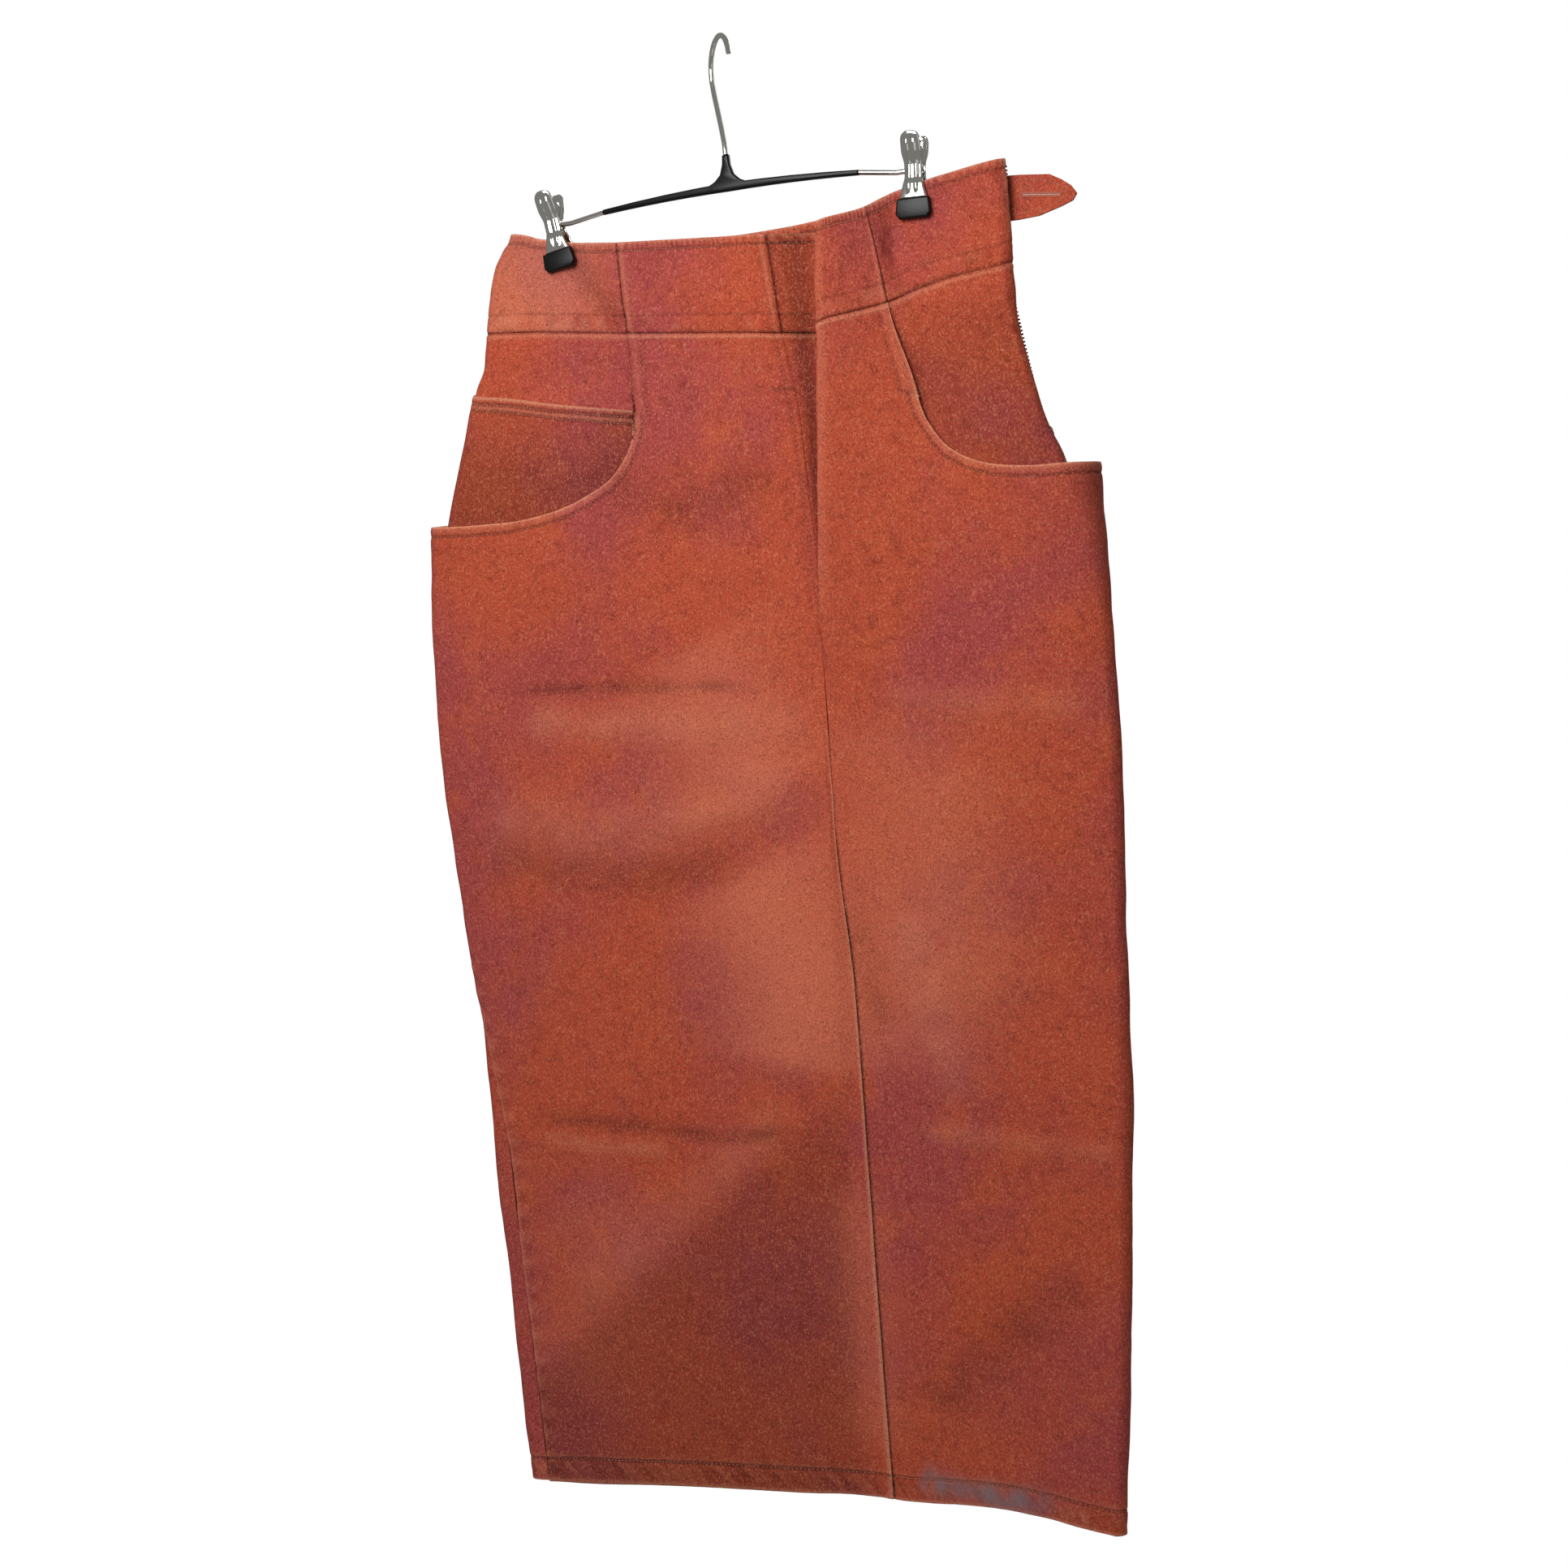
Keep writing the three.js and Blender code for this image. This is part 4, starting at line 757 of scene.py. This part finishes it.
def left_panel_relief(at, z, x):
    lift, marks = panel_relief(at, z, x)
    edge, _ = line_distance(at, z, list(zip(MOUTH_LEFT["at"], MOUTH_LEFT["z"])))
    raised, wear_and_highlight, shade_and_dark_tone = mouth_marks(edge, MOUTH_STITCH)
    near = (z < -262) & (at < 200)
    lift = lift + raised * near
    marks["wear_and_highlight"] = marks["wear_and_highlight"] + wear_and_highlight * near
    marks["shade_and_dark_tone"] = marks["shade_and_dark_tone"] + shade_and_dark_tone * near
    fly = bump_at(at - CENTRE_FRONT + CENTRE_STITCH, 1.3) * ease(z, -445, -425)
    fold_edge = bump_at(at - CENTRE_FRONT + 0.6, 1.7) * ease(z, -470, -560)
    bead = bump_at(at - CENTRE_FRONT + 3.5, 3) * ease(z, -420, -460)
    princess = bump_at(at - LEFT_PRINCESS - PRINCESS_STITCH, 1.3) * ease(z, -275, -262)
    puff = bump_at(at - LEFT_PRINCESS - 6, 3) * ease(z, -300, -255)
    princess_edge = bump_at(at - LEFT_PRINCESS, 1.8) * (z > -275)
    tack = crease(x, z, ((27, -255.5), (38, -256.2), (49, -257)), 1.5)
    ticks = crease(x, z, ((44, -330), (46, -375), (48, -425)), 2) * (np.sin(z * 0.55) > 0.2)
    side = bump_at(at - left_seam(z), 2.5) * ease(z, -560, -640)
    tuck = np.sin(z * 2 * math.pi / 19 + 2 * soft_noise(at, z, 40, 31))
    near_side = bump_at(at - left_seam(z) - 5, 6) * ease(z, -600, -700)
    lift = (lift + 0.6 * fold_edge + 0.4 * bead - 0.5 * fly - 0.5 * princess + 0.6 * puff
            - 0.4 * tack - 0.3 * ticks + 0.5 * tuck * near_side)
    # Wear and painted highlight on the folded centre front edge, the puff and the side seam, and
    # painted highlight on the tuck crests; painted shade in the stitch grooves, the princess seam
    # edge, the tack, the ticks and the tuck troughs.
    marks["wear_and_highlight"] = (marks["wear_and_highlight"] + 0.85 * fold_edge + 0.1 * puff + 0.3 * side
                     + 0.15 * np.clip(tuck, 0, 1) * near_side)
    marks["shade_and_dark_tone"] = (marks["shade_and_dark_tone"] + 0.35 * fly + 0.4 * princess + 0.35 * princess_edge
                     + 0.45 * tack + 0.25 * ticks + 0.2 * np.clip(-tuck, 0, 1) * near_side)
    return lift, marks


panel_left = cloth_piece("front_panel_left", 178, 264, left_panel_place,
                         mouth_level("left", SPREAD_LEFT), CLOTH_WALL, left_panel_relief, hem=True)

# Right front panel, centre front first; it wraps round the right corner.
RIGHT_LOW = (328, 338, 348, 356, 364, 372, 382, 392, 402, 412, 422, 431, 440, 449, 459, 471, 484,
             498, 513, 528, 542, 554, 561, 568, 575, 582, 606, 634, 660)
right_band = (328, 339, 350, 358, 365, 372, 388, 404, 420, 437, 454)
right_top_at = right_band + (454, 454) + MOUTH_RIGHT["at"]
right_top_z = tuple(round_table(WAIST, "seam", np.array(right_band, float)) - SEAM_GAP) + (
    -226, -248) + MOUTH_RIGHT["z"]


def right_panel_place(u, v):
    index = np.arange(len(RIGHT_LOW))
    column = u * index[-1]
    low_at = look(index, RIGHT_LOW, column)
    top_at = look(index, right_top_at, column)
    z = panel_height(v, look(index, right_top_z, column), low_at)
    edge = right_seam(z) - 0.3
    behind = np.clip((low_at - 582) / (660 - 582), 0, 1)
    spread = np.where(low_at > 582, mix(582, edge, behind), low_at)
    start = np.where(top_at > 582, mix(582, edge, (top_at - 582) / 18), top_at)
    start = np.where(np.abs(top_at - RIGHT_PRINCESS) < 0.01, RIGHT_PRINCESS - SEAM_GAP, start)
    at = mix(start, spread, np.clip(v / TOP_ROWS_SHARE, 0, 1))
    return np.maximum(at, CENTRE_FRONT + SEAM_GAP), z


def right_panel_relief(at, z, x):
    lift, marks = panel_relief(at, z, x)
    edge, _ = line_distance(at, z, list(zip(MOUTH_RIGHT["at"], MOUTH_RIGHT["z"])))
    raised, wear_and_highlight, shade_and_dark_tone = mouth_marks(edge, MOUTH_STITCH)
    near = (z < -268) & (at > 430)
    lift = lift + raised * near
    marks["wear_and_highlight"] = marks["wear_and_highlight"] + wear_and_highlight * near
    marks["shade_and_dark_tone"] = marks["shade_and_dark_tone"] + shade_and_dark_tone * near
    hidden = bump_at(at - CENTRE_FRONT, 2.5) * ease(z, -420, -480)
    shadow = bump_at(at - CENTRE_FRONT - 1, 3) * ease(z, -430, -500)
    princess = bump_at(at - RIGHT_PRINCESS + PRINCESS_STITCH, 1.3) * (z > -270)
    puff = bump_at(at - RIGHT_PRINCESS + 6, 3.5) * ease(z, -290, -262)
    rim = bump_at(at - RIGHT_PRINCESS, 2.4) * (z > -274)
    bar = crease(x, z, ((130, -268.5), (137, -269.5), (145, -270)), 1.4)
    lift = lift - 0.6 * hidden - 0.6 * princess + 0.6 * puff - 0.4 * bar
    stain = crease(x, z, ((85, -1052), (125, -1058), (195, -1064)), 10)
    # Wear and painted highlight on the raised princess seam rim and the puff; painted shadow on the
    # strip under the centre front lap; painted shade in the princess stitch groove and the bar.
    marks["wear_and_highlight"] = marks["wear_and_highlight"] + 0.4 * rim + 0.12 * puff
    marks["shade_and_dark_tone"] = marks["shade_and_dark_tone"] + 0.3 * hidden + 0.6 * shadow + 0.45 * princess + 0.4 * bar
    marks["stain"] = 0.75 * stain * (at < 600) * (0.7 + 0.5 * soft_noise(at, z, 12, 33))
    return lift, marks


panel_right = cloth_piece("front_panel_right", 178, 264, right_panel_place,
                          mouth_level("right", SPREAD_RIGHT), CLOTH_WALL, right_panel_relief,
                          hem=True)


# Back panels, joined at the centre back.
def back_place(start, end, first, last, low_first, low_last):
    def place(u, v):
        rough = mix(first, last, u)
        top = round_table(WAIST, "seam", rough) - SEAM_GAP
        z = panel_height(v, top, mix(low_first, low_last, u))
        return mix(start(z), end(z), u), z
    return place


back_right = cloth_piece(
    "back_panel_right", 110, 220,
    back_place(back_edge_right, fixed(CENTRE_BACK - SEAM_GAP), 583, CENTRE_BACK, 660, CENTRE_BACK),
    flat_level, CLOTH_WALL, panel_relief, hem=True)
back_left = cloth_piece(
    "back_panel_left", 130, 220,
    back_place(fixed(CENTRE_BACK + SEAM_GAP), lambda z: left_seam(z) - 0.4 + GIRTH,
               CENTRE_BACK, GIRTH - 16, CENTRE_BACK, GIRTH + 28),
    flat_level, CLOTH_WALL, panel_relief, hem=True)

# Topstitching: polyester thread, one short rounded length for each visible stitch, lying in
# the groove that it pulls into the cloth.
STITCH_PITCH = 3.4
STITCH_LONG = 2.5
STITCH_THICK = 0.75
bead = bmesh.new()
bmesh.ops.create_uvsphere(bead, u_segments=6, v_segments=4, radius=0.5)
bead_points = np.array([vert.co[:] for vert in bead.verts])
bead_faces = np.array([[face.verts[k % len(face.verts)].index for k in range(4)]
                       for face in bead.faces])
bead_sides = [len(face.verts) for face in bead.faces]
bead.free()


def beads(name, centres, along, out, sizes, material):
    """One piece with a rounded bead at each centre, laid along a direction on the surface."""
    across = np.cross(out, along)
    points = (centres[:, None] + sizes[0] * bead_points[None, :, :1] * along[:, None]
              + sizes[1] * bead_points[None, :, 1:2] * across[:, None]
              + sizes[2] * bead_points[None, :, 2:] * out[:, None])
    faces = [[int(corner) + number * len(bead_points) for corner in face[:sides]]
             for number in range(len(centres)) for face, sides in zip(bead_faces, bead_sides)]
    mesh = bpy.data.meshes.new(name)
    mesh.from_pydata((points.reshape(-1, 3) * MM).tolist(), [], faces)
    mesh.materials.append(material)
    for polygon in mesh.polygons:
        polygon.use_smooth = True
    piece = bpy.data.objects.new(name, mesh)
    bpy.context.scene.collection.objects.link(piece)
    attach(piece, "root")
    return piece


def unit(vectors):
    return vectors / np.linalg.norm(vectors, axis=1)[:, None]


def stitches(cloth, lines, pitch=STITCH_PITCH, long=STITCH_LONG):
    """Stitches on one cloth along lines of (place round the section, height)."""
    centres, along, outs = [], [], []
    for line in lines:
        at_line, z_line = (np.array(values, float) for values in zip(*line))
        run = np.concatenate(([0], np.cumsum(np.hypot(np.diff(at_line), np.diff(z_line)))))
        count = int(run[-1] / pitch)
        places = (np.arange(count) + 0.5) * run[-1] / count
        ends = []
        for shift in (-0.8, 0, 0.8):
            at = np.interp(places + shift, run, at_line)
            z = np.interp(places + shift, run, z_line)
            x, y, nx, ny = on_section(at, z, surfaces[cloth](at, z))
            ends.append(np.stack([x, y, z], axis=1))
            outs_now = unit(np.stack([nx, ny, 0 * nx], axis=1))
            if shift == 0:
                centres.append(ends[-1] + outs_now * 0.1)
                outs.append(outs_now)
        along.append(unit(ends[2] - ends[0]))
    piece = beads(cloth + "_stitching", np.concatenate(centres), np.concatenate(along),
                  np.concatenate(outs), (long, STITCH_THICK, STITCH_THICK), thread)
    return piece


def level_line(first, last, height):
    places = np.arange(first, last, 4.0)
    return list(zip(places, height(places)))


def upright(at, high, low):
    return [(at, high), (at, (high + low) / 2), (at, low)]


def offset_line(points, distance):
    """Line through these points moved sideways, to the right of its own direction."""
    line = np.array(points, float)
    way = unit(np.gradient(line, axis=0))
    return (line + distance * np.stack([way[:, 1], -way[:, 0]], axis=1)).tolist()


def waist_line(first, last):
    return level_line(first, last, lambda at: round_table(WAIST, "top", at) - WAIST_STITCH)


def hem_line(first, last):
    return level_line(first, last, lambda at: round_table(HEM, "z", at) + 17.5)


def coin_line(drop):
    return level_line(-10, 174, lambda at: look(COIN_EDGE["at"], COIN_EDGE["z"], at) - drop)


mouth_left = [point for point in zip(MOUTH_LEFT["at"], MOUTH_LEFT["z"])]
mouth_right = [point for point in zip(MOUTH_RIGHT["at"], MOUTH_RIGHT["z"])]
threads = {
    "band_front_side_left": [waist_line(-12, 174)],
    "band_front_centre_left": [waist_line(182, 318), upright(LEFT_PRINCESS + 12.5, -142, -202),
                               upright(CENTRE_FRONT - CENTRE_STITCH, -150, -213)],
    "band_front_centre_right": [waist_line(334, 450), upright(RIGHT_PRINCESS - 12.5, -145, -205)],
    "band_front_side_right": [waist_line(458, 556)],
    "back_band": [waist_line(600, 1090)],
    "coin_pocket": [coin_line(5.5), coin_line(10.5)],
    "front_panel_left": [
        hem_line(34, 322), offset_line(mouth_left, MOUTH_STITCH),
        upright(CENTRE_FRONT - CENTRE_STITCH, -219, -445),
        upright(LEFT_PRINCESS + PRINCESS_STITCH, -206, -268),
        [(CENTRE_FRONT - 26, -255.5), (CENTRE_FRONT - 10, -257)]],
    "front_panel_right": [
        hem_line(334, 640), offset_line(mouth_right[:10], MOUTH_STITCH),
        upright(RIGHT_PRINCESS - PRINCESS_STITCH, -208, -268),
        [(RIGHT_PRINCESS - 12, -269), (RIGHT_PRINCESS - 3, -270)]],
    "back_panel_right": [hem_line(668, 836)],
    "back_panel_left": [hem_line(844, 1130)],
}
threads = {name: stitches(name, lines) for name, lines in threads.items()}

# Zip: dark moulded teeth along the opening's front edge, from the waist to the slider.
TOOTH_PITCH = 2.6
tooth_z = np.arange(-121, ZIP_END_Z + 2, -TOOTH_PITCH)
tooth_at = front_edge_right(tooth_z) + 2.8
x, y, nx, ny = on_section(tooth_at, tooth_z, 1.5)
tooth_out = unit(np.stack([nx, ny, 0 * nx], axis=1))
tooth_along = np.cross(tooth_out, np.tile([0.0, 0.0, 1.0], (len(tooth_z), 1)))
teeth = beads("zip_teeth", np.stack([x, y, tooth_z], axis=1), tooth_along, tooth_out,
              (2.8, 1.5, 2.4), blackened)

# Tab stitches: round its edge, and a bound buttonhole drawn nearly shut.
TAB_ROUND = ((200, -129), (218, -130.4), (236, -132.4), (244, -137), (250.5, -144), (244, -148),
             (229, -152.4), (214, -153.4), (200, -153.4))
TAB_NEAR, TAB_START, TAB_LEAN = 6.7, 198, 0.06
edge_x, edge_z = (np.array(values, float) for values in zip(*TAB_ROUND))
run = np.concatenate(([0], np.cumsum(np.hypot(np.diff(edge_x), np.diff(edge_z)))))
places = np.arange(1.5, run[-1], STITCH_PITCH)
tab_x, tab_z = np.interp(places, run, edge_x), np.interp(places, run, edge_z)
ways = np.stack([np.interp(places + 1, run, edge_x) - tab_x, 0 * tab_x,
                 np.interp(places + 1, run, edge_z) - tab_z], axis=1)
hole_x = np.tile(np.arange(217.5, 245.5, 1.0), 2)
hole_z = -140.4 - (hole_x - 218) * 0.12 + np.repeat([0.9, -0.9], len(hole_x) // 2)
centre_x, centre_z = np.concatenate([tab_x, hole_x]), np.concatenate([tab_z, hole_z])
upward = np.tile([0.0, 0.0, 1.0], (len(hole_x), 1))
toward = np.tile([0.0, -1.0, 0.0], (len(centre_x), 1))
tab_thread = beads("waist_tab_stitching", np.stack(
    [centre_x, TAB_NEAR + (centre_x - TAB_START) * TAB_LEAN + 0.1, centre_z], axis=1),
    np.concatenate([unit(ways), upward]), toward, (3.0, 1.15, 1.0), thread)

# Zip, tab and hanger keep the frame's own solids, rounded and painted.
def dressed(name, material, body="root", smooth=30):
    """A copy of a frame solid with merged points, smooth by angle, in a material."""
    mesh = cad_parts[name].data.copy()
    mesh.name = name
    work = bmesh.new()
    work.from_mesh(mesh)
    bmesh.ops.remove_doubles(work, verts=work.verts, dist=0.00002)
    bmesh.ops.recalc_face_normals(work, faces=work.faces)
    limit = math.radians(smooth)
    for edge in work.edges:
        edge.smooth = len(edge.link_faces) == 2 and edge.calc_face_angle() < limit
    for face in work.faces:
        face.smooth = True
    work.to_mesh(mesh)
    work.free()
    for key in list(mesh.attributes.keys()):
        if key.startswith("custom_normal"):
            mesh.attributes.remove(mesh.attributes[key])
    mesh.materials.clear()
    mesh.materials.append(material)
    piece = bpy.data.objects.new(name + "_look", mesh)
    bpy.context.scene.collection.objects.link(piece)
    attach(piece, body)
    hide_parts(name)
    return piece


tapes = [dressed("zip_tape_front", woven_tape),
         dressed("zip_tape_back", woven_tape)]
dressed("zip_slider", dull_brass)
dressed("zip_pull", dull_brass, "pull")
tab = dressed("waist_tab", denim)
dressed("hanger_hook", plated, smooth=60)
dressed("hanger_bar", black_vinyl, smooth=60)
for side in ("left", "right"):
    dressed(f"hanger_rod_{side}", plated, smooth=60)
    dressed(f"clip_{side}_spring", plated, smooth=60)
    for face in ("front", "back"):
        dressed(f"clip_{side}_pad_{face}", black_vinyl, smooth=60)

# Clip jaws: pressed from plated sheet, each with two long ribs that stiffen it.
JAW = {
    "up": (-20, -12, -4, 3, 12, 20, 23.5, 25),
    "out": (5.8, 5.6, 3.9, 4.1, 7.4, 9.6, 10.3, 10.4),
    "half": (10.4, 8, 6.6, 6.6, 7.5, 7.2, 5.8, 3.4),
}
JAW_WALL = 1.2
RIB_HEIGHT = 0.9
HINGE = {"left": (-144, 10), "right": (144, -2)}
HINGE_Z = -105.9 - 7.5 * (144 / 137) ** 2


def jaw(side, face):
    """Curved sheet with ribs, leaning with its clip round the hinge on the rod."""
    name = f"clip_{side}_jaw_{face}"
    grid = bmesh.new()
    bmesh.ops.create_grid(grid, x_segments=30, y_segments=50, size=0.5)
    mesh = bpy.data.meshes.new(name + "_look")
    grid.to_mesh(mesh)
    grid.free()
    flat = np.zeros(len(mesh.vertices) * 3)
    mesh.vertices.foreach_get("co", flat)
    flat = flat.reshape(-1, 3)
    column, up = flat[:, 0] * 2, mix(-20, 25, flat[:, 1] + 0.5)
    across = column * look(JAW["up"], JAW["half"], up)
    ribs = (bump_at(across - 2.6, 1.1) + bump_at(across + 2.6, 1.1)) * ease(up, -18, -13) * ease(
        up, 21, 15)
    rim = ease(np.abs(column), 0.86, 1) * 0.8
    out = look(JAW["up"], JAW["out"], up) + JAW_WALL / 2 + 0.7 * (1 - column ** 2)
    out = out + RIB_HEIGHT * ribs - rim
    place_x, lean = HINGE[side]
    turn = math.radians(-lean)
    x = place_x + across * math.cos(turn) + up * math.sin(turn)
    z = HINGE_Z - across * math.sin(turn) + up * math.cos(turn)
    y = out * (-1 if face == "front" else 1)
    mesh.vertices.foreach_set("co", np.stack([x, y, z], axis=1).ravel() * MM)
    mesh.materials.append(plated)
    if face == "back":
        mesh.flip_normals()
    for polygon in mesh.polygons:
        polygon.use_smooth = True
    piece = bpy.data.objects.new(name + "_look", mesh)
    bpy.context.scene.collection.objects.link(piece)
    wall = piece.modifiers.new("wall", "SOLIDIFY")
    wall.thickness, wall.offset = JAW_WALL * MM, -1
    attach(piece, "root")
    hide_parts(name)


for side in ("left", "right"):
    for face in ("front", "back"):
        jaw(side, face)

# Studio: a pale round floor below, soft light from above and the right, white surround.
FLOOR_Z = -1.7
FLOOR_RADIUS = 1.25
disc = bmesh.new()
bmesh.ops.create_circle(disc, cap_ends=True, segments=96, radius=FLOOR_RADIUS)
floor_mesh = bpy.data.meshes.new("studio_floor")
disc.to_mesh(floor_mesh)
disc.free()
floor_mesh.transform(Matrix.Translation((0, 0, FLOOR_Z)))
floor = bpy.data.objects.new("studio_floor", floor_mesh)
floor_mesh.materials.append(plain_material("white_paper", "#f4f4f4", 0.9))
bpy.context.scene.collection.objects.link(floor)


def area_light(name, place, target, width, power):
    lamp = bpy.data.lights.new(name, "AREA")
    lamp.size, lamp.energy = width, power
    light = bpy.data.objects.new(name, lamp)
    bpy.context.scene.collection.objects.link(light)
    light.location = place
    aim = Vector(target) - Vector(place)
    light.rotation_mode = "QUATERNION"
    light.rotation_quaternion = aim.to_track_quat("-Z", "Y")


area_light("soft_key", (-0.1, -1.15, 0.25), (0, 0, -0.5), 0.7, 19)
area_light("soft_fill", (1.5, -1.5, -0.3), (0, 0, -0.6), 1.4, 2)
area_light("soft_back", (0.7, 1.7, 0.3), (0, 0, -0.5), 1.2, 9)
AMBIENT = 0.22
world = bpy.data.worlds.new("white_surround")
world.use_nodes = True
surround = world.node_tree
lit = surround.nodes["Background"]
lit.inputs["Color"].default_value = (1, 1, 1, 1)
lit.inputs["Strength"].default_value = AMBIENT
seen = add_node(surround, "ShaderNodeBackground", {"Color": (1, 1, 1, 1), "Strength": 1.0})
rays = add_node(surround, "ShaderNodeLightPath")
both = add_node(surround, "ShaderNodeMixShader", links={
    0: rays.outputs["Is Camera Ray"], 1: lit.outputs[0], 2: seen.outputs[0]})
surround.links.new(both.outputs[0], surround.nodes["World Output"].inputs["Surface"])
bpy.context.scene.world = world
bpy.context.scene.view_settings.view_transform = "Standard"

# Camera: at the photograph's place, looking up a little and turned to the left.
turn, rise, roll = math.radians(23.553), math.radians(-3.22), math.radians(-3.706)
ahead = Vector((-math.sin(turn) * math.cos(rise), math.cos(turn) * math.cos(rise), math.sin(rise)))
level_right = Vector((math.cos(turn), math.sin(turn), 0))
level_up = level_right.cross(ahead)
right_axis = level_right * math.cos(roll) + level_up * math.sin(roll)
up_axis = level_up * math.cos(roll) - level_right * math.sin(roll)
lens = bpy.data.cameras.new("photo_camera")
lens.sensor_width = 36
lens.lens = 2765.9 / 1932 * 36
lens.clip_start, lens.clip_end = 0.05, 60
camera = bpy.data.objects.new("photo_camera", lens)
bpy.context.scene.collection.objects.link(camera)
camera.rotation_mode = "QUATERNION"
camera.rotation_quaternion = Matrix((right_axis, up_axis, -ahead)).transposed().to_quaternion()
camera.location = Vector((670.9, -1507.5, -448.3)) * MM
bpy.context.scene.camera = camera
